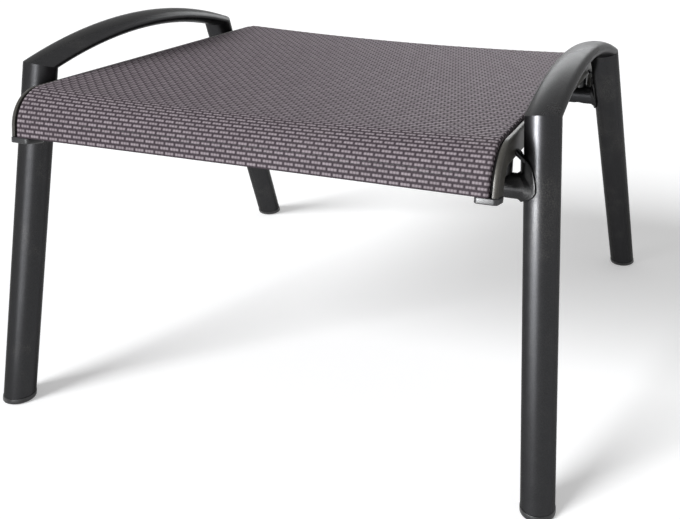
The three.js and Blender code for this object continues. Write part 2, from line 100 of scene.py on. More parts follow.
# %% [markdown]
# ## Helpers for making meshes
#
# Almost every piece here is a bmesh that becomes one object. The object itself stays at the origin,
# unturned, and the place is in the mesh, as it is for the frame's own nodes. Each piece hides the frame
# nodes that it replaces, and rides on the stool's one body. Shading is smooth, and edges sharper than a set
# angle stay crisp.

# %% From bmesh to a finished piece
SHARP_ANGLE = math.radians(32)
SAME_PLACE = 0.001 * MM  # points this close are one point
made_pieces = []


def mesh_object(bm, name):
    """Writes a bmesh to a new object in the scene."""
    mesh = bpy.data.meshes.new(name)
    bm.to_mesh(mesh)
    bm.free()
    made = bpy.data.objects.new(name, mesh)
    bpy.context.scene.collection.objects.link(made)
    return made


def finish_piece(bm, name, material, replaces=(), sharp=SHARP_ANGLE):
    """Makes an object that rides on the stool, with its material."""
    piece = mesh_object(bm, name)
    piece.data.materials.append(material)
    for polygon in piece.data.polygons:
        polygon.use_smooth = True
    if sharp is not None:
        piece.data.set_sharp_from_angle(angle=sharp)
    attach(piece, "root")
    if replaces:
        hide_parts(*replaces)
    made_pieces.append(piece)
    return piece


def apply_modifiers(piece):
    """Turns the modified shape into the piece's own mesh."""
    depsgraph = bpy.context.evaluated_depsgraph_get()
    shaped = bpy.data.meshes.new_from_object(piece.evaluated_get(depsgraph))
    piece.modifiers.clear()
    old = piece.data
    piece.data = shaped
    bpy.data.meshes.remove(old)
    shaped.name = piece.name


def close_up(bm):
    """Merges doubled points and turns all faces outwards."""
    bmesh.ops.remove_doubles(bm, verts=bm.verts, dist=SAME_PLACE)
    bmesh.ops.recalc_face_normals(bm, faces=bm.faces)


def turn_to(direction):
    """The rotation that takes the Z axis to a direction."""
    return direction.to_track_quat("Z", "Y").to_matrix().to_4x4()


def axes_matrix(x_axis, y_axis, z_axis):
    """The matrix that carries the three axes to three directions."""
    return Matrix((x_axis, y_axis, z_axis)).transposed().to_4x4()


def only_verts(geometry):
    return [part for part in geometry if isinstance(part, bmesh.types.BMVert)]


def only_edges(geometry):
    return [part for part in geometry if isinstance(part, bmesh.types.BMEdge)]


def round_edges(bm, edges, width, segments, hold_back=True):
    """Rounds edges. Where two of them are close, the width is held back."""
    settings = {"profile": 0.5, "affect": "EDGES", "material": -1, "clamp_overlap": hold_back}
    bmesh.ops.bevel(bm, geom=edges, offset=width, segments=segments, **settings)


# %% [markdown]
# ## A pipe with a real wall
#
# Legs, crossbars and handrails are tubes. A cylinder would show a solid end, and a curve with a bevel has
# no wall. So two circles are bridged to a flat ring, and the ring is extruded along its axis. A plane can
# then trim the end, as a saw does. The cut leaves two open rims, and one more bridge closes the wall.

# %% A tube from ring to ring
def ring_loop(bm, radius, sides, stretch=1.0):
    """A circle of edges, or an ellipse when it is stretched along Y."""
    made = bmesh.ops.create_circle(bm, cap_ends=False, radius=radius, segments=sides)
    bmesh.ops.scale(bm, vec=(1, stretch, 1), verts=made["verts"])
    return made["verts"]


def annulus(bm, outer, inner):
    """Joins an outer and an inner ring of points with faces, and returns those faces."""
    rings = set(outer) | set(inner)
    edges = [e for e in bm.edges if e.verts[0] in rings and e.verts[1] in rings]
    return bmesh.ops.bridge_loops(bm, edges=edges)["faces"]


def trim(bm, point, normal):
    """Cuts a tube's solid wall at a plane, drops what is in front of it, and closes the cut."""
    parts = list(bm.verts) + list(bm.edges) + list(bm.faces)
    bmesh.ops.bisect_plane(
        bm, geom=parts, dist=SAME_PLACE / 10, plane_co=point, plane_no=normal, clear_outer=True
    )
    rim = [e for e in bm.edges if e.is_boundary]
    bmesh.ops.bridge_loops(bm, edges=rim)


def pipe(start, end, radius, wall, sides):
    """A straight tube with a solid wall, square at both ends."""
    bm = bmesh.new()
    outer = ring_loop(bm, radius, sides)
    inner = ring_loop(bm, radius - wall, sides)
    foot = annulus(bm, outer, inner)
    grown = bmesh.ops.extrude_face_region(bm, geom=foot, use_keep_orig=True)["geom"]
    bmesh.ops.translate(bm, vec=(0, 0, (end - start).length), verts=only_verts(grown))
    bmesh.ops.transform(bm, matrix=Matrix.Translation(start) @ turn_to(end - start), verts=bm.verts)
    close_up(bm)
    return bm


# %% [markdown]
# ## Helpers for materials
#
# Every finish is procedural. Small functions add nodes and link them, so that a recipe reads like a
# sentence. An effect that several finishes share is a node group: it has named inputs and outputs, and each
# material places it with its own values. The groups give only masks, values and colours. The shader stays
# outside.

# %% Node helpers
def add_node(tree, kind, **settings):
    """A new node with its settings, such as operation="ADD"."""
    node = tree.nodes.new(kind)
    for key, value in settings.items():
        setattr(node, key, value)
    return node


def feed(tree, source, socket):
    """Links an output, or writes a plain value."""
    if isinstance(source, bpy.types.NodeSocket):
        tree.links.new(source, socket)
    else:
        socket.default_value = source


def calc(tree, operation, first, second=0.0, third=None):
    """A Math node. MULTIPLY_ADD is the only operation here that needs a third input."""
    node = add_node(tree, "ShaderNodeMath", operation=operation)
    feed(tree, first, node.inputs[0])
    feed(tree, second, node.inputs[1])
    if third is not None:
        feed(tree, third, node.inputs[2])
    return node.outputs[0]


def blend_colours(tree, share, first, second):
    node = add_node(tree, "ShaderNodeMix", data_type="RGBA")
    feed(tree, share, node.inputs["Factor"])
    feed(tree, first, node.inputs["A"])
    feed(tree, second, node.inputs["B"])
    return node.outputs["Result"]


def remap(tree, value, low, high, to_low=0.0, to_high=1.0, smooth=True):
    """Maps a range of values to another range, and clamps it."""
    node = add_node(tree, "ShaderNodeMapRange", clamp=True)
    node.interpolation_type = "SMOOTHSTEP" if smooth else "LINEAR"
    names = ("Value", "From Min", "From Max", "To Min", "To Max")
    for key, source in zip(names, (value, low, high, to_low, to_high), strict=True):
        feed(tree, source, node.inputs[key])
    return node.outputs[0]


def noise(tree, place, scale, detail=2.0, roughness=0.5):
    node = add_node(tree, "ShaderNodeTexNoise")
    feed(tree, place, node.inputs["Vector"])
    for key, value in (("Scale", scale), ("Detail", detail), ("Roughness", roughness)):
        feed(tree, value, node.inputs[key])
    return node.outputs["Fac"]


def new_group(name, inputs, outputs):
    """A node group with its sockets. inputs: name to (socket type, default); outputs: name to socket type."""
    group = bpy.data.node_groups.new(name, "ShaderNodeTree")
    for key, (kind, default) in inputs.items():
        socket = group.interface.new_socket(name=key, in_out="INPUT", socket_type=kind)
        if default is not None:
            socket.default_value = default
    for key, kind in outputs.items():
        group.interface.new_socket(name=key, in_out="OUTPUT", socket_type=kind)
    return group, add_node(group, "NodeGroupInput"), add_node(group, "NodeGroupOutput")


def place_group(tree, group, **values):
    """Puts a group into a material. An input's name is written with _ for each space."""
    node = add_node(tree, "ShaderNodeGroup", node_tree=group)
    for key, value in values.items():
        feed(tree, value, node.inputs[key.replace("_", " ")])
    return node.outputs


def object_place(tree):
    """The place on the piece in metres, which every pattern but the weave is drawn in."""
    return add_node(tree, "ShaderNodeTexCoord").outputs["Object"]


def new_material(name):
    """A material with a bare Principled shader: its tree and the shader."""
    material = bpy.data.materials.new(name)
    material.use_nodes = True
    return material, material.node_tree, material.node_tree.nodes["Principled BSDF"]


def bump(tree, height, distance, strength=1.0):
    node = add_node(tree, "ShaderNodeBump")
    feed(tree, height, node.inputs["Height"])
    node.inputs["Distance"].default_value = distance
    node.inputs["Strength"].default_value = strength
    return node.outputs["Normal"]


# %% [markdown]
# ## Shared effects
#
# Three effects come back in several finishes. Paint and moulded plastic both have a fine uneven skin.
# Outdoor furniture gathers dust and small rub marks. Metallic paint and steel both show tiny flakes or
# grain lines.

# %% The uneven skin of paint and plastic
skin_group, given, result = new_group(
    "Uneven skin",
    {"Place": ("NodeSocketVector", None), "Size": ("NodeSocketFloat", 400.0)},
    {"Height": "NodeSocketFloat", "Patches": "NodeSocketFloat"},
)
fine = noise(skin_group, given.outputs["Place"], given.outputs["Size"], detail=3.0, roughness=0.6)
broad_scale = calc(skin_group, "DIVIDE", given.outputs["Size"], 14.0)
broad = noise(skin_group, given.outputs["Place"], broad_scale, detail=3.0)
feed(skin_group, calc(skin_group, "MULTIPLY_ADD", broad, 0.6, fine), result.inputs["Height"])
feed(skin_group, remap(skin_group, broad, 0.35, 0.65), result.inputs["Patches"])

# %% [markdown]
# ### Dust and rubs
#
# Dust gathers in loose clouds, and each cloud is made of fine grit. So a broad noise says where the clouds
# are, and a fine one breaks them up. Rubs are short scratches: a noise that is stretched along one way, and
# cut so high that only its ridges remain. The group gives two masks, and each finish decides how much of
# them it wants.

# %% Dust and rub marks
dust_group, given, result = new_group(
    "Dust and rubs",
    {"Place": ("NodeSocketVector", None), "Amount": ("NodeSocketFloat", 0.3)},
    {"Dust": "NodeSocketFloat", "Rubs": "NodeSocketFloat"},
)
cloud = noise(dust_group, given.outputs["Place"], 14.0, detail=6.0, roughness=0.65)
grit = noise(dust_group, given.outputs["Place"], 900.0, detail=1.0)
clouds = remap(dust_group, cloud, 0.5, 0.72)
dust = calc(dust_group, "MULTIPLY", clouds, remap(dust_group, grit, 0.35, 0.7))
feed(dust_group, calc(dust_group, "MULTIPLY", dust, given.outputs["Amount"]), result.inputs["Dust"])
stretched = add_node(dust_group, "ShaderNodeMapping")
feed(dust_group, given.outputs["Place"], stretched.inputs["Vector"])
stretched.inputs["Scale"].default_value = (1.0, 1.0, 0.12)
stretched.inputs["Rotation"].default_value = (0.3, 0.2, 0.0)
scratch = noise(dust_group, stretched.outputs["Vector"], 260.0, detail=2.0)
rubs = calc(dust_group, "MULTIPLY", remap(dust_group, scratch, 0.66, 0.74), given.outputs["Amount"])
feed(dust_group, rubs, result.inputs["Rubs"])

# %% [markdown]
# ### Metal flakes
#
# Metallic paint holds tiny plates of aluminium, and each one lies a little differently. A Voronoi texture
# cuts the surface into small cells with one random colour each. One channel of that colour is each flake's
# brightness.

# %% Metal flakes
flake_group, given, result = new_group(
    "Metal flakes",
    {"Place": ("NodeSocketVector", None), "Size": ("NodeSocketFloat", 2600.0)},
    {"Sparkle": "NodeSocketFloat"},
)
cells = add_node(flake_group, "ShaderNodeTexVoronoi", feature="F1")
feed(flake_group, given.outputs["Place"], cells.inputs["Vector"])
feed(flake_group, given.outputs["Size"], cells.inputs["Scale"])
grey = add_node(flake_group, "ShaderNodeSeparateColor")
feed(flake_group, cells.outputs["Color"], grey.inputs["Color"])
feed(flake_group, grey.outputs["Red"], result.inputs["Sparkle"])
print("shared effects:", [g.name for g in bpy.data.node_groups])

# %% [markdown]
# ## Charcoal paint on the tubes
#
# The tubes are powder-coated in a dark metallic grey. It is satin rather than glossy: a lamp shows as a
# soft bright band along a tube. The recipe is a dark base with fine flakes, a slightly uneven skin that
# breaks the band's edges, and a trace of dust. A dark specular tint keeps a tube's rims from mirroring too
# much white.

# %% Charcoal paint
PAINT_BASE = (0.017, 0.017, 0.018, 1)
PAINT_FLAKE = (0.032, 0.032, 0.034, 1)
PAINT_DUST = (0.20, 0.19, 0.17, 1)
METAL_SPREAD = 0.08  # how much one flake's metallic value differs from the next


def charcoal_paint(name, base=PAINT_BASE, light=PAINT_FLAKE, roughness=0.32, metal=0.90):
    material, tree, shader = new_material(name)
    place = object_place(tree)
    flakes = place_group(tree, flake_group, Place=place, Size=2600.0)
    skin = place_group(tree, skin_group, Place=place, Size=900.0)
    marks = place_group(tree, dust_group, Place=place, Amount=0.18)
    colour = blend_colours(tree, flakes["Sparkle"], base, light)
    feed(tree, blend_colours(tree, marks["Dust"], colour, PAINT_DUST), shader.inputs["Base Color"])
    uneven = calc(tree, "MULTIPLY_ADD", skin["Patches"], 0.06, roughness)
    feed(tree, calc(tree, "MULTIPLY_ADD", marks["Rubs"], 0.2, uneven), shader.inputs["Roughness"])
    metallic = remap(tree, flakes["Sparkle"], 0.0, 1.0, metal - METAL_SPREAD, metal + METAL_SPREAD)
    feed(tree, metallic, shader.inputs["Metallic"])
    shader.inputs["Coat Weight"].default_value = 0.25
    shader.inputs["Specular Tint"].default_value = (0.15, 0.15, 0.16, 1)
    shader.inputs["Coat Roughness"].default_value = 0.3
    feed(tree, bump(tree, skin["Height"], 0.00002, 0.6), shader.inputs["Normal"])
    return material


charcoal = charcoal_paint("charcoal_paint")
# A slightly darker copy of the charcoal paint: painted shade for the brackets and welds under the seat.
shaded_bracket_paint = charcoal_paint("shaded_bracket_paint", base=(0.016, 0.016, 0.017, 1), light=(0.030, 0.030, 0.031, 1))
# A lighter copy of the charcoal paint for the rails: its rougher, less metallic satin is a finish, and its
# lighter colour is painted light.
painted_light_rail_paint = charcoal_paint(
    "painted_light_rail_paint", base=(0.040, 0.038, 0.034, 1), light=(0.065, 0.062, 0.054, 1), roughness=0.55, metal=0.3
)

# %% [markdown]
# ## Black plastic, dark cord and steel
#
# The end caps, foot glides and spacers are moulded plastic with a fine spark-eroded grain. The cords in the
# cloth's edges are black too. The bolts and nuts are plain zinc-plated steel.

# %% Plastic, cord and steel
PLASTIC_DUST = (0.12, 0.11, 0.10, 1)
ZINC_DARK = (0.42, 0.42, 0.44, 1)
ZINC_LIGHT = (0.60, 0.60, 0.60, 1)
ZINC_TARNISH = (0.16, 0.13, 0.10, 1)


def moulded_plastic(name, base=(0.010, 0.010, 0.011, 1), roughness=0.32):
    material, tree, shader = new_material(name)
    place = object_place(tree)
    skin = place_group(tree, skin_group, Place=place, Size=1800.0)
    marks = place_group(tree, dust_group, Place=place, Amount=0.5)
    feed(tree, blend_colours(tree, marks["Dust"], base, PLASTIC_DUST), shader.inputs["Base Color"])
    feed(tree, calc(tree, "MULTIPLY_ADD", skin["Patches"], 0.1, roughness), shader.inputs["Roughness"])
    feed(tree, bump(tree, skin["Height"], 0.00004, 0.8), shader.inputs["Normal"])
    return material


def plated_steel(name):
    material, tree, shader = new_material(name)
    place = object_place(tree)
    flakes = place_group(tree, flake_group, Place=place, Size=4200.0)
    marks = place_group(tree, dust_group, Place=place, Amount=0.6)
    colour = blend_colours(tree, flakes["Sparkle"], ZINC_DARK, ZINC_LIGHT)
    feed(tree, blend_colours(tree, marks["Dust"], colour, ZINC_TARNISH), shader.inputs["Base Color"])
    feed(tree, remap(tree, flakes["Sparkle"], 0.0, 1.0, 0.28, 0.45), shader.inputs["Roughness"])
    shader.inputs["Metallic"].default_value = 1.0
    return material


plastic = moulded_plastic("moulded_black")
cord_plastic = moulded_plastic("edge_cord_plastic", base=(0.016, 0.015, 0.017, 1), roughness=0.55)
steel = plated_steel("plated_steel")
thread = moulded_plastic("sewing_thread", base=(0.030, 0.026, 0.030, 1), roughness=0.6)
print("materials so far:", [m.name for m in bpy.data.materials])

# %% [markdown]
# ## The woven cloth
#
# The cloth is a coarse weave: light yarn bundles float over a dark ground in a staggered pattern, like
# bricks in a wall. The pattern is drawn in the cloth's own flat coordinates, which the mesh carries as a UV
# map. There one unit across is one dash and one unit along is one row, so the colours always meet the
# relief of the mesh.

# %% Brick weave
STRANDS = 3  # in one bundle of yarn

weave_group, given, result = new_group(
    "Brick weave",
    {
        "Flat place": ("NodeSocketVector", None),
        "Dash share": ("NodeSocketFloat", 0.84),
        "Row share": ("NodeSocketFloat", 0.62),
    },
    {key: "NodeSocketFloat" for key in ("Yarn", "Roundness", "Shade", "Height")},
)
dash_share, row_share = given.outputs["Dash share"], given.outputs["Row share"]
axes = add_node(weave_group, "ShaderNodeSeparateXYZ")
feed(weave_group, given.outputs["Flat place"], axes.inputs[0])
row = calc(weave_group, "FLOOR", axes.outputs["Y"])
shift = calc(weave_group, "MULTIPLY", calc(weave_group, "FLOORED_MODULO", row, 2.0), 0.5)
shifted = calc(weave_group, "ADD", axes.outputs["X"], shift)
dash_part = calc(weave_group, "FRACT", shifted)
row_part = calc(weave_group, "FRACT", axes.outputs["Y"])
dash_way = calc(weave_group, "SUBTRACT", dash_part, 0.5)
row_way = calc(weave_group, "SUBTRACT", row_part, 0.5)


def soft_edge(tree, way, share, softness):
    """1 inside a centred share of the cell and 0 outside."""
    half = calc(tree, "MULTIPLY", share, 0.5)
    low, high = calc(tree, "SUBTRACT", half, softness), calc(tree, "ADD", half, softness)
    return remap(tree, calc(tree, "ABSOLUTE", way), low, high, 1.0, 0.0)


full_turns = calc(weave_group, "MULTIPLY", dash_way, STRANDS * 2 * math.pi)
turns = calc(weave_group, "DIVIDE", full_turns, dash_share)
strand = calc(weave_group, "MULTIPLY_ADD", calc(weave_group, "COSINE", turns), 0.5, 0.5)
end_way = calc(weave_group, "DIVIDE", calc(weave_group, "ABSOLUTE", row_way), row_share)
crown = remap(weave_group, end_way, 0.1, 0.5, 1.0, 0.0)
rounded_end = calc(weave_group, "MULTIPLY", calc(weave_group, "SUBTRACT", 1.0, strand), 0.12)
yarn_across = soft_edge(weave_group, dash_way, dash_share, 0.03)
yarn_along = soft_edge(weave_group, row_way, calc(weave_group, "SUBTRACT", row_share, rounded_end), 0.06)
yarn = calc(weave_group, "MULTIPLY", yarn_across, yarn_along)
which_yarn = add_node(weave_group, "ShaderNodeCombineXYZ")
feed(weave_group, calc(weave_group, "FLOOR", shifted), which_yarn.inputs["X"])
feed(weave_group, row, which_yarn.inputs["Y"])
chance = add_node(weave_group, "ShaderNodeTexWhiteNoise", noise_dimensions="2D")
feed(weave_group, which_yarn.outputs[0], chance.inputs["Vector"])
feed(weave_group, chance.outputs["Value"], result.inputs["Shade"])
feed(weave_group, yarn, result.inputs["Yarn"])
# Roundness shapes the bump's relief, and as its own output it is the painted shade of the strands.
roundness_and_painted_shade = calc(weave_group, "MULTIPLY", calc(weave_group, "POWER", strand, 0.6), crown)
height = calc(weave_group, "MULTIPLY_ADD", roundness_and_painted_shade, 0.6, 0.4)
feed(weave_group, roundness_and_painted_shade, result.inputs["Roundness"])
feed(weave_group, calc(weave_group, "MULTIPLY", yarn, height), result.inputs["Height"])
print("nodes in the weave:", len(weave_group.nodes))

# %% [markdown]
# ### The cloth's colours
#
# Each light dash is a bundle of three plastic-coated strands. The group above tells how far a point is from
# a strand's crown. The crowns are painted lighter and the valleys between strands darker: painted light and
# shade on the round strands. Each bundle also has its own random tone. The ground between the bundles is
# dark, warm grey. A bump adds the strands that the mesh is too coarse for.

# %% Sling cloth
# The yarn colours run from painted shade in the strands' valleys to their lighter crowns.
PAINTED_YARN_VALLEY_SHADE = (0.150, 0.126, 0.138, 1)
YARN_CROWN = (0.318, 0.276, 0.301, 1)
GROUND_DARK = (0.034, 0.026, 0.032, 1)
GROUND_LIGHT = (0.070, 0.056, 0.065, 1)
CLOTH_DUST = (0.30, 0.28, 0.25, 1)

cloth, tree, shader = new_material("sling_cloth")
flat = add_node(tree, "ShaderNodeUVMap", uv_map="weave").outputs["UV"]
place = object_place(tree)
weave = place_group(tree, weave_group, Flat_place=flat)
marks = place_group(tree, dust_group, Place=place, Amount=0.08)
# Painted strand shade plus each bundle's random tone.
bright = calc(tree, "MULTIPLY_ADD", weave["Roundness"], 0.75, calc(tree, "MULTIPLY", weave["Shade"], 0.3))
light_yarn = blend_colours(tree, bright, PAINTED_YARN_VALLEY_SHADE, YARN_CROWN)
ground = blend_colours(tree, noise(tree, place, 700.0), GROUND_DARK, GROUND_LIGHT)
colour = blend_colours(tree, weave["Yarn"], ground, light_yarn)
feed(tree, blend_colours(tree, marks["Dust"], colour, CLOTH_DUST), shader.inputs["Base Color"])
feed(tree, remap(tree, weave["Yarn"], 0.0, 1.0, 0.75, 0.55), shader.inputs["Roughness"])
shader.inputs["Specular IOR Level"].default_value = 0.05
feed(tree, bump(tree, weave["Height"], 0.0005, 0.8), shader.inputs["Normal"])
print("nodes in the cloth's material:", len(tree.nodes))

# %% [markdown]
# ## The side frames' geometry
#
# Each side of the stool is one flat frame that leans inwards: a front leg, a rear leg and a low arched
# handrail between their tops. The seam between a leg and the handrail is cut on one plane. Both tubes show
# the same outline there, although the leg is round and the handrail is oval. The planes are read from the
# frame.

# %% Axes and seams of the legs
TUBE_RADIUS = 16 * MM
TUBE_WALL = 2 * MM
TUBE_SIDES = 72

legs = {}
for side in SIDES:
    for end in ENDS:
        lower, upper = ring_pair(f"leg_{end}_{side}")
        foot, joint = middle(lower), middle(upper)
        legs[end, side] = {
            "foot": foot,
            "joint": joint,
            "axis": (joint - foot).normalized(),
            "seam": plane_normal(upper),
        }
        rake = math.degrees(math.acos((joint - foot).normalized().z))
        print(f"{end} {side} leg: {(joint - foot).length / MM:.1f} mm long, leans {rake:.1f} degrees")

# %% [markdown]
# ## Legs
#
# A leg is a length of round tube. It could be a cylinder, but a real tube has a wall, and the two slanted
# cuts show it. So a ring of faces is extruded into a pipe that is too long, and planes trim it: the floor's
# plane at the glide, and the seam's plane at the top.

# %% Make the four legs
OVERRUN = 30 * MM
UP = Vector((0, 0, 1))

for (end, side), leg in legs.items():
    reach = leg["axis"] * OVERRUN
    bm = pipe(leg["foot"] - reach, leg["joint"] + reach, TUBE_RADIUS, TUBE_WALL, TUBE_SIDES)
    trim(bm, leg["foot"], -UP)
    trim(bm, leg["joint"], leg["seam"])
    close_up(bm)
    finish_piece(bm, f"leg_tube_{end}_{side}", charcoal, [f"leg_{end}_{side}"])
print("leg tubes made:", len(legs))

# %% [markdown]
# ## Handrails
#
# The handrail is an oval tube, 32 by 16 mm, rolled to a low arch. An oval ring spun about the arch's centre
# gives exactly that shape, and the two seam planes trim it, as a saw would.

# %% Make the two handrails
GRIP_HALF_THICKNESS = 8 * MM
ARCH_STEPS = 96
ARCH_OVERRUN_SHARE = 1.25  # the spin goes this much past the seams before the trim

for side in SIDES:
    front, rear = legs["front", side], legs["rear", side]
    chord = rear["joint"] - front["joint"]
    along = chord.normalized()
    across = rear["axis"].cross(front["axis"]).normalized()
    across = across if across.x > 0 else -across
    rise_way = across.cross(along)
    rise_way = rise_way if rise_way.z > 0 else -rise_way
    base = (front["joint"] + rear["joint"]) / 2
    crown = max((p - base).dot(rise_way) for p in node_points(f"handrail_{side}"))
    rise = crown - GRIP_HALF_THICKNESS
    radius = (chord.length ** 2 / 4 + rise ** 2) / (2 * rise)
    centre = base + rise_way * (rise - radius)
    half_angle = math.asin(chord.length / 2 / radius) * ARCH_OVERRUN_SHARE

    bm = bmesh.new()
    hollow, hollow_half = TUBE_RADIUS - TUBE_WALL, GRIP_HALF_THICKNESS - TUBE_WALL
    ring_loop(bm, TUBE_RADIUS, TUBE_SIDES, GRIP_HALF_THICKNESS / TUBE_RADIUS)
    ring_loop(bm, hollow, TUBE_SIDES, hollow_half / hollow)
    axes = axes_matrix(across, rise_way, across.cross(rise_way))
    bmesh.ops.transform(bm, matrix=Matrix.Translation(centre + rise_way * radius) @ axes, verts=bm.verts)
    spin_axis = across.cross(rise_way).cross(rise_way)
    bmesh.ops.rotate(bm, cent=centre, matrix=Matrix.Rotation(-half_angle, 3, spin_axis), verts=bm.verts)
    parts = list(bm.verts) + list(bm.edges)
    bmesh.ops.spin(bm, geom=parts, cent=centre, axis=spin_axis, angle=2 * half_angle, steps=ARCH_STEPS)
    rim = [e for e in bm.edges if e.is_boundary]
    first = [e for e in rim if (e.verts[0].co - base).dot(along) < 0]
    second = [e for e in rim if (e.verts[0].co - base).dot(along) > 0]
    bmesh.ops.bridge_loops(bm, edges=first)
    bmesh.ops.bridge_loops(bm, edges=second)
    trim(bm, front["joint"], -front["seam"])
    trim(bm, rear["joint"], -rear["seam"])
    close_up(bm)
    finish_piece(bm, f"handrail_tube_{side}", charcoal, [f"handrail_{side}"])
    print(f"{side} handrail: arch radius {radius / MM:.0f} mm, rise {rise / MM:.1f} mm")

# %% [markdown]
# ## The deck's own frame
#
# The crossbars and rails lie on a plane that falls a little to the rear. Working in that plane's own
# coordinates keeps the numbers simple: x across the stool, y along the rails, and z up from the plane of
# the crossbars' axes. A matrix then carries each finished mesh to its place.

# %% Find the deck from the two crossbars
def box_middle(node):
    low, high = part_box(node)
    return (low + high) / 2


crossbar_centre = {end: box_middle(f"crossbar_{end}") for end in ENDS}
deck_along = (crossbar_centre["rear"] - crossbar_centre["front"]).normalized()
deck_up = Vector((1, 0, 0)).cross(deck_along)
DECK = Matrix.Translation(crossbar_centre["front"]) @ axes_matrix((1, 0, 0), deck_along, deck_up)
CROSSBAR_GAP = (crossbar_centre["rear"] - crossbar_centre["front"]).length
CROSSBAR_Y = {"front": 0.0, "rear": CROSSBAR_GAP}

RAIL_WIDTH = 19 * MM
RAIL_HEIGHT = 22 * MM
SAME_HEIGHT = 0.01 * MM  # two points this close in height lie on one face

rail_marks = [DECK.inverted() @ p for p in node_points("sling_rail_right")]
RAIL_TOP = max(p.z for p in rail_marks)
flat_marks = [p.y for p in rail_marks if p.z > RAIL_TOP - SAME_HEIGHT]
RAIL_START, RAIL_END = min(flat_marks), max(flat_marks)
RAIL_X = (min(p.x for p in rail_marks) + max(p.x for p in rail_marks)) / 2
print(f"rail top {RAIL_TOP / MM:.1f} mm over the crossbars, flat {(RAIL_END - RAIL_START) / MM:.1f} mm long")


def leg_on_deck(end, side):
    """A point and the direction of a leg's axis, in the deck's frame."""
    inverse = DECK.inverted()
    return inverse @ legs[end, side]["joint"], (inverse.to_3x3() @ legs[end, side]["axis"]).normalized()


def slide_to_leg(point, end, side, reach, way=Vector((1, 0, 0))):
    """Moves a point along a direction until it is at a distance from a leg's axis."""
    joint, axis = leg_on_deck(end, side)
    off = point - joint
    flat = off - axis * off.dot(axis)
    step = way - axis * way.dot(axis)
    a, b, c = step.dot(step), flat.dot(step), flat.dot(flat) - reach**2
    return point + way * ((-b - math.sqrt(max(0.0, b * b - a * c))) / a)


# %% [markdown]
# ## Crossbars
#
# A crossbar is a smaller round tube whose ends are coped: cut to the curve of the sleeve that they are
# welded to. Instead of a boolean, each point of an end ring slides outwards until it lies on that sleeve.
# The hole that lets a tool reach the bolt is a real hole, so there a boolean does the work.

# %% Make the crossbars
CROSSBAR_RADIUS = 11 * MM
CROSSBAR_WALL = 1.8 * MM
CROSSBAR_SIDES = 56
SLEEVE_RADIUS = 18.8 * MM  # just outside the bracket's saddle, where the weld closes the gap
CROSSBAR_DRAWN = 200 * MM  # each end is drawn here and then slides to its sleeve
ACCESS_RADIUS = 6 * MM


def drill(piece, place, radius, depth):
    """Cuts a round hole up into a piece, from a point below it, in the deck's frame."""
    bm = bmesh.new()
    turned = DECK @ Matrix.Translation(place)
    bmesh.ops.create_cone(
        bm, cap_ends=True, segments=40, radius1=radius, radius2=radius, depth=depth, matrix=turned
    )
    cutter = mesh_object(bm, "drill")
    mesh = cutter.data
    modifier = piece.modifiers.new("drill", "BOOLEAN")
    modifier.operation = "DIFFERENCE"
    modifier.solver = "EXACT"
    modifier.object = cutter
    bpy.context.view_layer.update()
    apply_modifiers(piece)
    bpy.data.objects.remove(cutter)
    bpy.data.meshes.remove(mesh)


for end in ENDS:
    ends = [Vector((sign * CROSSBAR_DRAWN, CROSSBAR_Y[end], 0)) for sign in SIDES.values()]
    bm = pipe(*ends, CROSSBAR_RADIUS, CROSSBAR_WALL, CROSSBAR_SIDES)
    for vertex in bm.verts:
        side = "left" if vertex.co.x < 0 else "right"
        way = Vector((SIDES[side], 0, 0))
        vertex.co = slide_to_leg(vertex.co, end, side, SLEEVE_RADIUS, way)
    bmesh.ops.transform(bm, matrix=DECK, verts=bm.verts)
    crossbar = finish_piece(bm, f"crossbar_tube_{end}", charcoal, [f"crossbar_{end}"])
    for sign in SIDES.values():
        below = Vector((sign * RAIL_X, CROSSBAR_Y[end], -CROSSBAR_RADIUS))
        drill(crossbar, below, ACCESS_RADIUS, CROSSBAR_RADIUS)
    crossbar.data.set_sharp_from_angle(angle=SHARP_ANGLE)
print("crossbar faces:", len(crossbar.data.polygons))

# %% [markdown]
# ## Brackets
#
# Each bracket is a saddle that hugs the inner side of a leg, with a sloping strap that reaches up to the
# rail. The saddle starts as a flat grid. Each point is then wrapped round the leg's axis: across the grid
# becomes an angle, and up the grid becomes a height on the leg. A wall and a bevel give the soft edges of a
# casting.

# %% Make the four brackets
SADDLE_RADIUS = 16.3 * MM
SADDLE_WALL = 2.2 * MM
SADDLE_FOOT = -11 * MM
SADDLE_TOP_INSET = 8 * MM
SADDLE_WRAP = 2 * MM
SADDLE_BACK = 12 * MM
SADDLE_CORNER_SHARE = 0.24  # of the saddle's height, at each end
SADDLE_CELLS = 28
SADDLE_TOP_CURVE = 1.6  # how late the edge draws back towards the top, and towards the foot
SADDLE_FOOT_CURVE = 3
SADDLE_RIM_ANGLE = math.radians(60)
SADDLE_OVER_STRAP = 2 * MM
SADDLE_ROUNDING = 0.7 * MM
STRAP_WIDTH = 12 * MM
STRAP_THICKNESS = 3 * MM
STRAP_SLOPE = math.radians(38)
STRAP_RISE = 8 * MM  # over the rail's underside
STRAP_GAP = 0.3 * MM
STRAP_TOP = RAIL_TOP - RAIL_HEIGHT + STRAP_RISE
STRAP_START = RAIL_X + RAIL_WIDTH / 2 + STRAP_GAP
STRAP_LEAD = 8 * MM
STRAP_SINK = 0.6 * MM  # its end stays this far out of the saddle's inner face
STRAP_ROUNDING = 1.1 * MM


def wrap_edge(level, top):
    """How far the saddle reaches outwards at a height, as a distance inside the leg's axis."""
    if level > 0:
        return SADDLE_WRAP + (SADDLE_TOP_INSET - SADDLE_WRAP) * (level / top) ** SADDLE_TOP_CURVE
    return SADDLE_WRAP + (SADDLE_TOP_INSET - SADDLE_WRAP) * (level / SADDLE_FOOT) ** SADDLE_FOOT_CURVE


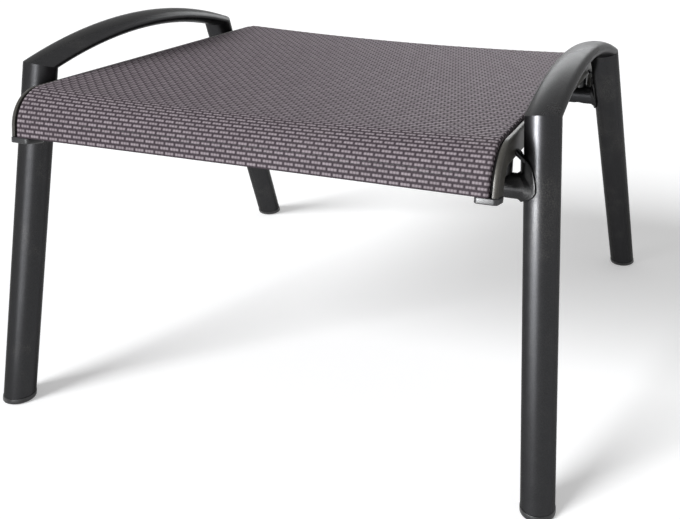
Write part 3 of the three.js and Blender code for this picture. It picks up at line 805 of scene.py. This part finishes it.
def corner_ease(share):
    """Narrows the saddle near its foot and its top, which rounds the corners."""
    past = max(0.0, SADDLE_CORNER_SHARE - share, share - 1 + SADDLE_CORNER_SHARE) / SADDLE_CORNER_SHARE
    return 1 - 0.5 * (1 - math.sqrt(1 - min(past, 1.0) ** 2))


def leg_at(joint, axis, level):
    return joint + axis * ((level - joint.z) / axis.z)


for end, side in legs:
    sign = SIDES[side]
    joint, axis = leg_on_deck(end, side)
    outwards = (Vector((sign, 0, 0)) - axis * axis.x * sign).normalized()
    endwards = Vector((0, ENDS[end], 0))
    endwards = (endwards - axis * endwards.dot(axis)).normalized()
    reach = abs(leg_at(joint, axis, STRAP_TOP).x) - STRAP_START
    meet = reach - math.sqrt(SADDLE_RADIUS**2 - (STRAP_LEAD + STRAP_WIDTH / 2) ** 2)
    strap_foot = STRAP_TOP - meet * math.tan(STRAP_SLOPE)
    top = strap_foot + SADDLE_OVER_STRAP

    bm = bmesh.new()
    bmesh.ops.create_grid(bm, x_segments=SADDLE_CELLS, y_segments=SADDLE_CELLS, size=0.5)
    for vertex in bm.verts:
        share = vertex.co.y + 0.5
        level = SADDLE_FOOT + share * (top - SADDLE_FOOT)
        near = -math.asin(SADDLE_BACK / (SADDLE_RADIUS + SADDLE_WALL)) * corner_ease(share)
        far = math.acos(wrap_edge(level, top) / SADDLE_RADIUS) * (0.2 + 0.8 * corner_ease(share))
        angle = near + (vertex.co.x + 0.5) * (far - near)
        spoke = endwards * math.sin(angle) - outwards * math.cos(angle)
        vertex.co = leg_at(joint, axis, level) + spoke * SADDLE_RADIUS
    bmesh.ops.recalc_face_normals(bm, faces=bm.faces)
    probe = bm.faces[0]
    inward = (probe.calc_center_median() - leg_at(joint, axis, probe.calc_center_median().z)).normalized()
    if probe.normal.dot(inward) > 0:
        bmesh.ops.reverse_faces(bm, faces=bm.faces)
    bmesh.ops.solidify(bm, geom=list(bm.faces), thickness=SADDLE_WALL)
    close_up(bm)
    rim = [e for e in bm.edges if e.calc_face_angle(0) > SADDLE_RIM_ANGLE]
    round_edges(bm, rim, SADDLE_ROUNDING, 3)

    made = bmesh.ops.create_cube(bm, size=1.0)["verts"]
    strap_y = leg_at(joint, axis, strap_foot).y + ENDS[end] * STRAP_LEAD
    slope = Vector((sign * math.cos(STRAP_SLOPE), 0, -math.sin(STRAP_SLOPE)))
    for vertex in made:
        outer, along, up = vertex.co.x > 0, vertex.co.y, vertex.co.z - 0.5
        height = up * STRAP_THICKNESS / math.cos(STRAP_SLOPE)
        place = Vector((sign * STRAP_START, strap_y + along * STRAP_WIDTH, STRAP_TOP + height))
        vertex.co = place + slope * meet if outer else place
        if outer:
            vertex.co = slide_to_leg(vertex.co, end, side, SADDLE_RADIUS + STRAP_SINK, slope)
    strap_faces = {f for v in made for f in v.link_faces}
    strap_edges = [e for e in bm.edges if all(v in made for v in e.verts)]
    bmesh.ops.recalc_face_normals(bm, faces=list(strap_faces))
    round_edges(bm, strap_edges, STRAP_ROUNDING, 3)
    bmesh.ops.transform(bm, matrix=DECK, verts=bm.verts)
    finish_piece(bm, f"bracket_{end}_{side}", shaded_bracket_paint, [f"rail_bracket_{end}_{side}"])
print("bracket top over the crossbar axes:", round(top / MM, 1), "mm")

# %% [markdown]
# ## Welds
#
# A weld is a small ring of metal in the corner between two parts. Here the ring is a lathe shape round the
# crossbar: each circle is a little wider than the one before it. Its points then slide towards the saddle,
# each circle stopping at its own distance, so the ring follows the saddle's curve.

# %% Make the four welds
WELD_PROFILE = [  # each circle's radius and its gap to the saddle, in mm
    (10.9, 3.0), (11.4, 2.1), (12.0, 1.1), (12.6, 0.4), (13.0, 0.1), (13.1, -0.3),
]
RIPPLE_DEPTH = 0.12 * MM
RIPPLES = 14  # round the whole weld

for end, side in legs:
    bm = bmesh.new()
    way = Vector((SIDES[side], 0, 0))
    rings = []
    for radius, gap in WELD_PROFILE:
        circle = ring_loop(bm, radius * MM, CROSSBAR_SIDES)
        bmesh.ops.rotate(bm, matrix=Matrix.Rotation(math.pi / 2, 3, "Y"), verts=circle)
        bmesh.ops.translate(bm, vec=(CROSSBAR_DRAWN * SIDES[side], CROSSBAR_Y[end], 0), verts=circle)
        for vertex in circle:
            angle = math.atan2(vertex.co.y - CROSSBAR_Y[end], vertex.co.z)
            ripple = RIPPLE_DEPTH * math.sin(RIPPLES * angle)
            vertex.co = slide_to_leg(vertex.co, end, side, SADDLE_RADIUS + SADDLE_WALL, way)
            vertex.co -= way * (gap * MM + ripple * min(gap, 1.0))
        rings.append(circle)
    for inner, outer in zip(rings, rings[1:]):
        annulus(bm, outer, inner)
    close_up(bm)
    bmesh.ops.transform(bm, matrix=DECK, verts=bm.verts)
    finish_piece(bm, f"weld_{end}_{side}", shaded_bracket_paint, sharp=None)
print("circles in a weld:", len(rings))

# %% [markdown]
# ## Sling rails
#
# A rail is an aluminium extrusion: one profile along its whole length, with a slot on top for the cloth's
# corded edge and a hollow chamber beside it. The profile is drawn once as two closed outlines. Extruding it
# along the flat and spinning it through the bends gives the rail, just as rolling the bar does.

# %% The rail's profile
RAIL_HALF_WIDTH = RAIL_WIDTH / 2
RAIL_CORNER = 3 * MM
RAIL_WALL = 2 * MM
SLOT_X = 3.3 * MM
SLOT_HALF_WIDTH = 1.5 * MM
SLOT_LIP = 0.5 * MM
BORE_RADIUS = 3.5 * MM
BORE_DEPTH = 7 * MM
BORE_WALL = 1.8 * MM  # between the slot's bore and the chamber
CHAMBER_HEIGHT = 7.5 * MM
BEND_RADIUS = 37 * MM
BEND_ANGLE = math.radians(80)
RAIL_END_LENGTH = 9 * MM


def arc(x, z, radius, start, end, steps):
    """Points of an arc in the profile's plane, with angles in degrees."""
    angles = [math.radians(start + (end - start) * i / steps) for i in range(steps + 1)]
    return [(x + radius * math.cos(a), z + radius * math.sin(a)) for a in angles]


def rail_outlines():
    half, corner, lip = RAIL_HALF_WIDTH, RAIL_CORNER, SLOT_LIP
    mouth = math.degrees(math.asin(SLOT_HALF_WIDTH / BORE_RADIUS))
    slot_low = -BORE_DEPTH + BORE_RADIUS * math.cos(math.radians(mouth))
    outer = arc(half - corner, -corner, corner, 0, 90, 6)
    outer += arc(SLOT_X + SLOT_HALF_WIDTH + lip, -lip, lip, 90, 180, 3)
    outer += [(SLOT_X + SLOT_HALF_WIDTH, slot_low)]
    outer += arc(SLOT_X, -BORE_DEPTH, BORE_RADIUS, 90 - mouth, mouth - 270, 22)[1:-1]
    outer += [(SLOT_X - SLOT_HALF_WIDTH, slot_low)]
    outer += arc(SLOT_X - SLOT_HALF_WIDTH - lip, -lip, lip, 0, 90, 3)
    outer += arc(corner - half, -corner, corner, 90, 180, 6)
    outer += arc(corner - half, corner - RAIL_HEIGHT, corner, 180, 270, 6)
    outer += arc(half - corner, corner - RAIL_HEIGHT, corner, 270, 360, 6)
    left, right, floor = RAIL_WALL - half, half - RAIL_WALL, RAIL_WALL - RAIL_HEIGHT
    step = SLOT_X - BORE_RADIUS - BORE_WALL
    chamber = [
        (left, floor), (right, floor), (right, floor + CHAMBER_HEIGHT),
        (step, floor + CHAMBER_HEIGHT), (step, -RAIL_WALL), (left, -RAIL_WALL),
    ]
    return outer, chamber


def draw_loop(bm, points, y):
    """A closed outline across the stool at one place along it."""
    verts = [bm.verts.new((x, y, z)) for x, z in points]
    return [bm.edges.new((verts[i - 1], verts[i])) for i in range(len(verts))]


def pull(bm, edges, offset):
    """Extrudes edges and moves the new ones. Returns the new edges."""
    grown = bmesh.ops.extrude_edge_only(bm, edges=edges)["geom"]
    bmesh.ops.translate(bm, vec=offset, verts=only_verts(grown))
    return only_edges(grown)


def bend_and_end(bm, edges, y, way, steps=36):
    """Spins the profile's edges down through a bend and adds the straight end."""
    parts = list({v for e in edges for v in e.verts}) + list(edges)
    centre = Vector((0, y, RAIL_TOP - BEND_RADIUS))
    spun = bmesh.ops.spin(bm, geom=parts, cent=centre, axis=(-way, 0, 0), angle=BEND_ANGLE, steps=steps)
    fall = Vector((0, way * math.cos(BEND_ANGLE), -math.sin(BEND_ANGLE)))
    return pull(bm, only_edges(spun["geom_last"]), fall * RAIL_END_LENGTH)


# %% [markdown]
# ### From profile to rail
#
# Both outlines are drawn where the flat begins. They are pulled to where it ends, and each end is spun down
# through the bend. The tip is filled between the outer outline and the chamber, so the extrusion stays
# hollow.

# %% Make the two rails
for side, sign in SIDES.items():
    bm = bmesh.new()
    outlines = rail_outlines()
    placed = [[(sign * (RAIL_X + x), RAIL_TOP + z) for x, z in outline] for outline in outlines]
    first = [e for outline in placed for e in draw_loop(bm, outline, RAIL_START)]
    second = pull(bm, first, Vector((0, RAIL_END - RAIL_START, 0)))
    for edges, y, way in ((first, RAIL_START, -1), (second, RAIL_END, 1)):
        tip = bend_and_end(bm, edges, y, way)
        bmesh.ops.triangle_fill(bm, edges=tip, use_beauty=True)
    close_up(bm)
    bmesh.ops.transform(bm, matrix=DECK, verts=bm.verts)
    rail = finish_piece(bm, f"rail_profile_{side}", painted_light_rail_paint, [f"sling_rail_{side}"])
    print(f"{side} rail: {len(rail.data.polygons)} faces")

# %% [markdown]
# ## Rail end caps
#
# Each rail end has a moulded cap: a rounded plate with a plug behind it. A square face with beveled corner
# points is the plate's outline. It is extruded, its rim is rounded, and the plug is a box set behind it.

# %% Make the four caps
CAP_THICKNESS = 5.5 * MM
CAP_OVERHANG = 0.7 * MM
CAP_CORNER = 4 * MM
CAP_GAP = 0.3 * MM
CAP_ROUNDING = 1 * MM
CAP_RIM_ANGLE = 1.2  # in radians
PLUG_LENGTH = 8 * MM
PLUG_PLAY = 0.8 * MM  # narrower than the chamber by this much
PLUG_ROOT = 1 * MM  # how far the plug starts inside the plate


def rail_tip(way):
    """The frame of reference at a rail's end: the middle of the profile, with Z pointing out of the end."""
    y = RAIL_START if way < 0 else RAIL_END
    out = Vector((0, way * math.cos(BEND_ANGLE), -math.sin(BEND_ANGLE)))
    up = Vector((0, way * math.sin(BEND_ANGLE), math.cos(BEND_ANGLE)))
    centre = Vector((0, y, RAIL_TOP - BEND_RADIUS))
    point = centre + up * (BEND_RADIUS - RAIL_HEIGHT / 2) + out * RAIL_END_LENGTH
    return point, up, out


for side, sign in SIDES.items():
    for end, way in ENDS.items():
        point, up, out = rail_tip(way)
        bm = bmesh.new()
        half_width = RAIL_HALF_WIDTH + CAP_OVERHANG
        half_height = RAIL_HEIGHT / 2 + CAP_OVERHANG
        bmesh.ops.create_grid(bm, x_segments=1, y_segments=1, size=1)
        bmesh.ops.scale(bm, vec=(half_width, half_height, 1), verts=bm.verts)
        corners = list(bm.verts)
        bmesh.ops.bevel(
            bm, geom=corners, offset=CAP_CORNER, segments=7, profile=0.5, affect="VERTICES", material=-1
        )
        grown = bmesh.ops.extrude_face_region(bm, geom=list(bm.faces), use_keep_orig=True)["geom"]
        bmesh.ops.translate(bm, vec=(0, 0, CAP_THICKNESS), verts=only_verts(grown))
        close_up(bm)
        rim = [e for e in bm.edges if e.calc_face_angle(0) > CAP_RIM_ANGLE]
        round_edges(bm, rim, CAP_ROUNDING, 4, hold_back=False)
        bmesh.ops.translate(bm, vec=(0, 0, CAP_GAP), verts=bm.verts)
        plug = bmesh.ops.create_cube(bm, size=1.0)["verts"]
        plug_width = 2 * (RAIL_HALF_WIDTH - RAIL_WALL) - PLUG_PLAY
        plug_length = PLUG_LENGTH + PLUG_ROOT
        bmesh.ops.scale(bm, vec=(plug_width, CHAMBER_HEIGHT - PLUG_PLAY, plug_length), verts=plug)
        plug_y = RAIL_WALL + CHAMBER_HEIGHT / 2 - RAIL_HEIGHT / 2
        bmesh.ops.translate(bm, vec=(0, plug_y, PLUG_ROOT + CAP_GAP - plug_length / 2), verts=plug)
        point.x = sign * RAIL_X
        place = Matrix.Translation(point) @ axes_matrix(up.cross(out), up, out)
        bmesh.ops.transform(bm, matrix=DECK @ place, verts=bm.verts)
        finish_piece(bm, f"cap_plate_{end}_{side}", plastic, [f"rail_cap_{end}_{side}"])
print("cap faces:", len(made_pieces[-1].data.polygons))

# %% [markdown]
# ## Foot glides
#
# A glide is turned like a cup and then pressed on a leg that leans. So it is first spun upright as a lathe
# would, and a shear matrix then leans it with the leg while its sole stays flat on the floor.

# %% Make the four glides
GLIDE_PROFILE = [  # radius and height in mm, from the sole's middle outwards and up
    (0, 0), (13.2, 0), (13.9, 0.3), (15.4, 0.75), (16.1, 1.2), (16.45, 1.9), (16.5, 2.8), (16.5, 6.0),
    (16.35, 6.4), (16.0, 6.5), (13.6, 6.5), (13.6, 19.4), (12.9, 20.2), (0, 20.4),
]

for (end, side), leg in legs.items():
    bm = bmesh.new()
    verts = [bm.verts.new((r * MM, 0, z * MM)) for r, z in GLIDE_PROFILE]
    parts = verts + [bm.edges.new(pair) for pair in zip(verts, verts[1:])]
    bmesh.ops.spin(
        bm, geom=parts, cent=(0, 0, 0), axis=(0, 0, 1), angle=2 * math.pi, steps=TUBE_SIDES, use_merge=True
    )
    close_up(bm)
    axis = leg["axis"]
    lean = Vector((axis.x, axis.y, 0)).normalized()
    shear = axes_matrix(lean / axis.z, UP.cross(lean), axis / axis.z)
    sole = leg["foot"] - axis * (leg["foot"].z / axis.z)
    bmesh.ops.transform(bm, matrix=Matrix.Translation(sole) @ shear, verts=bm.verts)
    finish_piece(bm, f"glide_cup_{end}_{side}", plastic, [f"foot_glide_{end}_{side}"])
print("glide faces:", len(made_pieces[-1].data.polygons))

# %% [markdown]
# ## The sling
#
# The seat is one piece of coarse cloth, woven from plastic-coated yarn. Its side edges hang in the rails'
# slots, and its short ends are folded under and sewn. The cloth starts as a flat grid whose lines follow
# the weave: four cells to each dash across, and four to each row along. Each point is then laid on the
# rails' line, lowered a little between them, and lifted where a yarn floats. The flat position stays in a
# UV map.

# %% Where the cloth's rows lie
CLOTH_IN_SLOT = 0.9 * MM  # inwards of the slot's middle
SLOT_LINE = RAIL_X + SLOT_X - CLOTH_IN_SLOT
REST_INSET = 5 * MM  # the cloth leaves the rail this far outwards of its inner side
REST_X = RAIL_X - RAIL_HALF_WIDTH + REST_INSET
DASH_PITCH = 10 * MM
CELLS_PER_DASH = 4
CELLS_PER_ROW = 4
ROW_PITCH_FLAT = 5.6 * MM
ROW_PITCH_BEND = 4.3 * MM
PITCH_CHANGE = 30 * MM  # the stretch over which one pitch becomes the other
CLOTH_REST = 0.95 * MM  # height of the cloth's ground over the rail's top
RELIEF = 0.42 * MM
SAG_DEPTH = 7 * MM
SAG_HEM = 2.5 * MM
EDGE_TURN = 1.4 * MM
EDGE_DEPTH = 3.9 * MM
HEM_LENGTH = 20 * MM
HEM_GAP = 0.9 * MM
HEM_CELLS = 12
FOLD_STEPS = 5
FOLD_ROWS = 0.06  # rows of the weave in one step of the fold

flat_length = RAIL_END - RAIL_START
bend_length = BEND_RADIUS * BEND_ANGLE
half_length = flat_length / 2 + bend_length + RAIL_END_LENGTH


def rail_place(s):
    """The rail line at a distance from the flat's middle: y, z and the fall towards the rear."""
    way = -1 if s < 0 else 1
    over = abs(s) - flat_length / 2
    middle_y = (RAIL_START + RAIL_END) / 2
    if over <= 0:
        return middle_y + s, 0.0, 0.0
    angle = min(over / BEND_RADIUS, BEND_ANGLE)
    straight = max(0.0, over - bend_length)
    y = flat_length / 2 + BEND_RADIUS * math.sin(angle) + straight * math.cos(angle)
    z = -BEND_RADIUS * (1 - math.cos(angle)) - straight * math.sin(angle)
    return middle_y + way * y, z, way * angle


def row_stations():
    """Distances along the rail line with the weave's row number, from hem to hem."""
    stations, row, s = [], 0.0, -half_length
    while s < half_length:
        stations.append((s, row))
        over = min(max((abs(s) - flat_length / 2 + PITCH_CHANGE / 2) / PITCH_CHANGE, 0.0), 1.0)
        s += (ROW_PITCH_FLAT + (ROW_PITCH_BEND - ROW_PITCH_FLAT) * over) / CELLS_PER_ROW
        row += 1 / CELLS_PER_ROW
    scale = half_length * 2 / (s + half_length)
    return [(-half_length + (s0 + half_length) * scale, r) for s0, r in stations] + [(half_length, row)]


def cloth_lines():
    """All lines of the grid along the cloth: distance, row, drop below the cloth, and reach past its end."""
    lines = [(s, row, 0.0, 0.0) for s, row in row_stations()]
    radius = HEM_GAP / 2
    for way in (-1, 1):
        s, row = lines[0][:2] if way < 0 else lines[-1][:2]
        extra = []
        for i in range(1, FOLD_STEPS):
            angle = math.pi * i / FOLD_STEPS
            drop, past = radius * (1 - math.cos(angle)), radius * math.sin(angle)
            extra.append((s, row + way * i * FOLD_ROWS, drop, past))
        for i in range(HEM_CELLS + 1):
            back = HEM_LENGTH * i / HEM_CELLS
            rows_back = FOLD_STEPS * FOLD_ROWS + back / ROW_PITCH_BEND
            extra.append((s - way * back, row + way * rows_back, HEM_GAP, 0.0))
        lines = list(reversed(extra)) + lines if way < 0 else lines + extra
    return lines


# %% [markdown]
# ### Across the stool
#
# Across, the cloth is flat up to the slot and then turns down into it round a small curve. In the middle it
# sags a little, because a sling is never quite tight. A wave of nearly half a millimetre lifts each
# floating bundle. This could be a displacement texture, but the plain formula keeps the bundles on the same
# grid as the colours.

# %% How the cloth crosses the stool
def across_place(a):
    """From the distance across the flat cloth to x and the drop into the slot."""
    way, a = (-1, -a) if a < 0 else (1, a)
    straight = SLOT_LINE - EDGE_TURN
    if a <= straight:
        return way * a, 0.0
    angle = min((a - straight) / EDGE_TURN, math.pi / 2)
    deep = max(0.0, a - straight - EDGE_TURN * math.pi / 2)
    return way * (straight + EDGE_TURN * math.sin(angle)), EDGE_TURN * (1 - math.cos(angle)) + deep


cloth_half_width = SLOT_LINE - EDGE_TURN + EDGE_TURN * math.pi / 2 + (EDGE_DEPTH - EDGE_TURN)
cells_across = round(2 * cloth_half_width / DASH_PITCH * CELLS_PER_DASH)
lines = cloth_lines()
print("cells across:", cells_across, "lines along:", len(lines))


def weave_height(dash, row):
    """0 on the ground and 1 on a floating yarn's crown."""
    shift = 0.5 if math.floor(row) % 2 else 0.0
    along_dash = math.sin(math.pi * ((dash + shift) % 1.0))
    across_row = math.sin(math.pi * (row % 1.0))
    return max(0.0, along_dash) ** 0.5 * max(0.0, across_row) ** 0.6


def cloth_point(a, line, lift=None):
    """Where a point of the flat cloth lies. A lift puts it at its own height over the cloth's ground."""
    s, row, drop, past = line
    y, z, tilt = rail_place(s)
    x, sunk = across_place(a)
    level = (math.cos(tilt) - math.cos(BEND_ANGLE)) / (1 - math.cos(BEND_ANGLE))
    mid = max(0.0, 1 - (2 * s / flat_length) ** 2)
    sag = SAG_HEM + (SAG_DEPTH - SAG_HEM) * (0.5 * level + 0.5 * mid)
    hang = max(0.0, 1 - (x / REST_X) ** 2)
    height = CLOTH_REST - sag * hang - sunk - drop
    if lift is not None:
        height += lift
    elif drop == 0 and sunk == 0:
        height += RELIEF * weave_height(a / DASH_PITCH, row)
    forward = past * (1 if s > 0 else -1)
    y += height * math.sin(tilt) + forward * math.cos(tilt)
    z += height * math.cos(tilt) - forward * math.sin(tilt)
    return Vector((x, y, RAIL_TOP + z))


# %% [markdown]
# ### Laying the cloth
#
# The grid gives flat cells, and each of its points goes to its place on the stool. The flat place is kept
# in the UV map. The cloth is one thin sheet.

# %% Weave the sling
bm = bmesh.new()
bmesh.ops.create_grid(bm, x_segments=cells_across, y_segments=len(lines) - 1, size=0.5)
weave_map = bm.loops.layers.uv.new("weave")
flat_place = {}
for vertex in bm.verts:
    a = vertex.co.x * 2 * cloth_half_width
    line = lines[round((vertex.co.y + 0.5) * (len(lines) - 1))]
    flat_place[vertex] = (a / DASH_PITCH, line[1])
    vertex.co = DECK @ cloth_point(a, line)
for face in bm.faces:
    for loop in face.loops:
        loop[weave_map].uv = flat_place[loop.vert]
sling = finish_piece(bm, "sling_cloth", cloth, ["sling"], sharp=None)

# %% [markdown]
# ## Hem stitches
#
# The folded ends are sewn with two lines of dark thread. One stitch is a small sphere stretched to a grain
# of rice, and the same grain is placed again and again along the hem, turned to lie flat on the cloth.

# %% Sew the hems
STITCH_LENGTH = 3.6 * MM
STITCH_STEP = 5 * MM
STITCH_WIDTH = 0.7 * MM
STITCH_SHAPE = Matrix.Diagonal((STITCH_LENGTH / 2, STITCH_WIDTH / 2, STITCH_WIDTH / 2, 1))
STITCH_SINK = 0.05 * MM
STITCH_LIFT = RELIEF - STITCH_SINK
STITCH_ROWS = (14 * MM, 17.5 * MM)  # from the hem's edge
STITCH_INSET = 6 * MM  # the rows end this far inwards of where the cloth leaves the rail
NEARBY = 1 * MM  # a second point this far off shows which way the cloth runs

for end, way in ENDS.items():
    bm = bmesh.new()
    for back in STITCH_ROWS:
        s_place = way * (half_length - back)
        line = min((entry for entry in lines if entry[2] == 0), key=lambda entry: abs(entry[0] - s_place))
        count = int(2 * (REST_X - STITCH_INSET) / STITCH_STEP)
        for i in range(count):
            a = (i - (count - 1) / 2) * STITCH_STEP
            here = cloth_point(a, line, STITCH_LIFT)
            beside = cloth_point(a + NEARBY, line, STITCH_LIFT)
            ahead = cloth_point(a, (line[0] + NEARBY, line[1], 0.0, 0.0), STITCH_LIFT)
            across_way = (beside - here).normalized()
            across_way.z = 0
            out_way = across_way.cross(ahead - here).normalized()
            axes = axes_matrix(across_way, out_way.cross(across_way), out_way)
            grain = Matrix.Translation(here) @ axes @ STITCH_SHAPE
            bmesh.ops.create_uvsphere(bm, u_segments=8, v_segments=6, radius=1, matrix=DECK @ grain)
    finish_piece(bm, f"hem_stitches_{end}", thread, sharp=None)
print("stitches per line:", count)

# %% [markdown]
# ## Small parts
#
# The spacers, bolts, nuts and cords keep the frame's own shapes. Each one is a copy whose doubled points
# are merged. A small bevel then rounds the moulded and machined edges, so that they catch the light.

# %% Dress the small parts
SMALL_PARTS = {
    "rail_spacer": (plastic, "black_plastic", 0.35 * MM),
    "rail_bolt": (steel, "fastener_steel", 0.2 * MM),
    "rail_nut": (steel, "fastener_steel", 0.2 * MM),
    "edge_cord": (cord_plastic, "cord_plastic", 0),
}

FLAT_ANGLE = math.radians(1)  # faces that meet at less are one face
SMALL_RIM_ANGLE = math.radians(50)

for node_name in sorted(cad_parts):
    kind = next((kind for kind in SMALL_PARTS if node_name.startswith(kind)), None)
    if kind is None:
        continue
    material, slot, rounding = SMALL_PARTS[kind]
    bm = bmesh.new()
    bm.from_mesh(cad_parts[node_name].data)
    close_up(bm)
    bmesh.ops.dissolve_limit(bm, angle_limit=FLAT_ANGLE, verts=bm.verts, edges=bm.edges)
    if rounding:
        corners = [e for e in bm.edges if e.calc_face_angle(0) > SMALL_RIM_ANGLE]
        round_edges(bm, corners, rounding, 2)
    close_up(bm)
    finish_piece(bm, f"{node_name}_made", material, [node_name])
print("pieces in all:", len(made_pieces))

# %% [markdown]
# ## Camera
#
# The stool is seen from the front right, from above the seat. The place, the turns and the lens were fitted
# so that the legs' feet and tops fall where they should in the picture. The shift moves the picture without
# turning the camera, which keeps the upright lines as they are.

# %% Camera
CAMERA_PLACE = Vector((391.9, -950.4, 555.6)) * MM
CAMERA_YAW = math.radians(17.277)
CAMERA_PITCH = math.radians(24.858)
CAMERA_ROLL = math.radians(1.176)
CAMERA_LENS = 48.62  # in mm, for a sensor 36 mm wide
CAMERA_SHIFT = (-0.1471, 0.0037)

camera_data = bpy.data.cameras.new("camera")
camera = bpy.data.objects.new("camera", camera_data)
bpy.context.scene.collection.objects.link(camera)
turn = Matrix.Rotation(CAMERA_YAW, 4, "Z") @ Matrix.Rotation(math.pi / 2 - CAMERA_PITCH, 4, "X")
camera.matrix_world = Matrix.Translation(CAMERA_PLACE) @ turn @ Matrix.Rotation(CAMERA_ROLL, 4, "Z")
camera_data.sensor_width = 36.0
camera_data.lens = CAMERA_LENS
camera_data.shift_x, camera_data.shift_y = CAMERA_SHIFT
bpy.context.scene.camera = camera
print("camera height in mm:", round(CAMERA_PLACE.z / MM), "lens in mm:", camera_data.lens)

# %% [markdown]
# ## Studio
#
# A product picture has a white ground. The world is one even white. A camera that looks at it sees plain
# white, and so do paint and glass, so that metal shows the same ground that the picture has. For all other
# rays it is a weaker fill. Together with the main lamp it lights cloth and plastic so that they render
# about as their colours are written. The paint is dark enough to stay charcoal under that white, and its
# bright lines come from the panels further down.

# %% World
scene = bpy.context.scene
scene.view_settings.view_transform = "Standard"
world = bpy.data.worlds.new("studio")
scene.world = world
world.use_nodes = True
world_tree = world.node_tree
FILL_LEVEL = 0.30


def background_rays(tree):
    """1 for the rays that show the background: the camera's, and those that glass or paint sends on."""
    rays = add_node(tree, "ShaderNodeLightPath").outputs
    seen = calc(tree, "MAXIMUM", rays["Is Camera Ray"], rays["Is Transmission Ray"])
    return calc(tree, "MAXIMUM", seen, rays["Is Glossy Ray"])


background = world_tree.nodes["Background"]
background.inputs["Color"].default_value = (1, 1, 1, 1)
strength = remap(world_tree, background_rays(world_tree), 0.0, 1.0, FILL_LEVEL, 1.0, smooth=False)
feed(world_tree, strength, background.inputs["Strength"])
print("world fill:", FILL_LEVEL)

# %% [markdown]
# ## The main lamp
#
# One wide, distant lamp from the front left gives the cloth its form and each foot a soft shadow to the
# right. Its angle sets how fast a shadow blurs with distance. The paint does not mirror it, because the
# panels below give the tubes a better placed highlight.

# %% Lamp
SUN_WAY = Vector((-0.56, -0.83, 0.62))  # from the stool towards the lamp
SUN_STRENGTH = 3.7
SUN_WIDTH = math.radians(26)


def add_lamp(data, place, way):
    """Puts a lamp in the scene. The way points from what it lights back to the lamp."""
    lamp = bpy.data.objects.new(data.name, data)
    lamp.location = place
    lamp.rotation_euler = way.to_track_quat("Z", "Y").to_euler()
    scene.collection.objects.link(lamp)
    return lamp


sun_data = bpy.data.lights.new("key", "SUN")
sun_data.energy = SUN_STRENGTH
sun_data.angle = SUN_WIDTH
sun_data.color = (0.98, 0.99, 1.0)
add_lamp(sun_data, Vector(), SUN_WAY).visible_glossy = False
print("main lamp height in degrees:", round(math.degrees(math.asin(SUN_WAY.normalized().z))))

# %% [markdown]
# ## Light panels
#
# A round tube shows a lamp as a bright line along it. Where the line lies and how wide it is depends on
# where the lamp stands, so photographers put long panels close to a product. Three rectangles do that here:
# one low for the legs, one high for a single leg's top, and one at the rear for the handrails. Only glossy
# surfaces see them. The spread works like a grid on a softbox and keeps the bright upper panel to its leg.

# %% Light panels that only glossy surfaces see
PANELS = {  # place, aim, width, height, radiance, spread in degrees
    "panel_low": (Vector((-0.12, -0.85, 0.22)), Vector((0.284, -0.28, 0.20)), 0.62, 0.50, 5.8, 140),
    "panel_high": (Vector((-0.10, -0.85, 0.45)), Vector((0.284, -0.27, 0.33)), 0.26, 0.28, 85.0, 90),
    "panel_rear": (Vector((-0.10, 1.40, 0.80)), Vector((0.10, 0.0, 0.36)), 0.90, 0.50, 6.0, 150),
}


def light_panel(name, place, aim, width, height, radiance, spread):
    """A bright rectangle near the stool that only glossy surfaces see."""
    half = math.radians(spread / 2)
    beam_share = (math.tan(half) - half) / math.tan(half)  # a narrow beam needs less power to be as bright
    data = bpy.data.lights.new(name, "AREA")
    data.shape = "RECTANGLE"
    data.size, data.size_y = width, height
    data.spread = 2 * half
    data.energy = radiance * math.pi * width * height * beam_share
    data.color = (0.97, 0.985, 1.0)
    lamp = add_lamp(data, place, place - aim)
    lamp.visible_diffuse = False
    lamp.visible_camera = False


for name, panel in PANELS.items():
    light_panel(name, *panel)

# %% [markdown]
# ## Floor
#
# The floor is a large pale plane that catches the shadows. A little emission lifts it to white for the
# camera and for what paint mirrors, so that it runs into the white background without a horizon. Other rays
# do not see that emission, so it puts no light on the stool.

# %% Floor
FLOOR_HALF_SIZE = 20  # in metres
FLOOR_COLOUR = (0.82, 0.82, 0.82, 1)
FLOOR_LIFT = 0.34

bm = bmesh.new()
bmesh.ops.create_grid(bm, x_segments=1, y_segments=1, size=FLOOR_HALF_SIZE)
floor = mesh_object(bm, "floor")
floor_material, tree, shader = new_material("floor")
shader.inputs["Base Color"].default_value = FLOOR_COLOUR
shader.inputs["Roughness"].default_value = 0.9
shader.inputs["Specular IOR Level"].default_value = 0.0
shader.inputs["Emission Color"].default_value = (1, 1, 1, 1)
feed(tree, calc(tree, "MULTIPLY", background_rays(tree), FLOOR_LIFT), shader.inputs["Emission Strength"])
floor.data.materials.append(floor_material)
print("floor size in m:", round(floor.dimensions.x))

# %% [markdown]
# ## The last update
#
# Every piece was made where the frame has it. At the end the view layer is updated once more.

# %% The last update
bpy.context.view_layer.update()
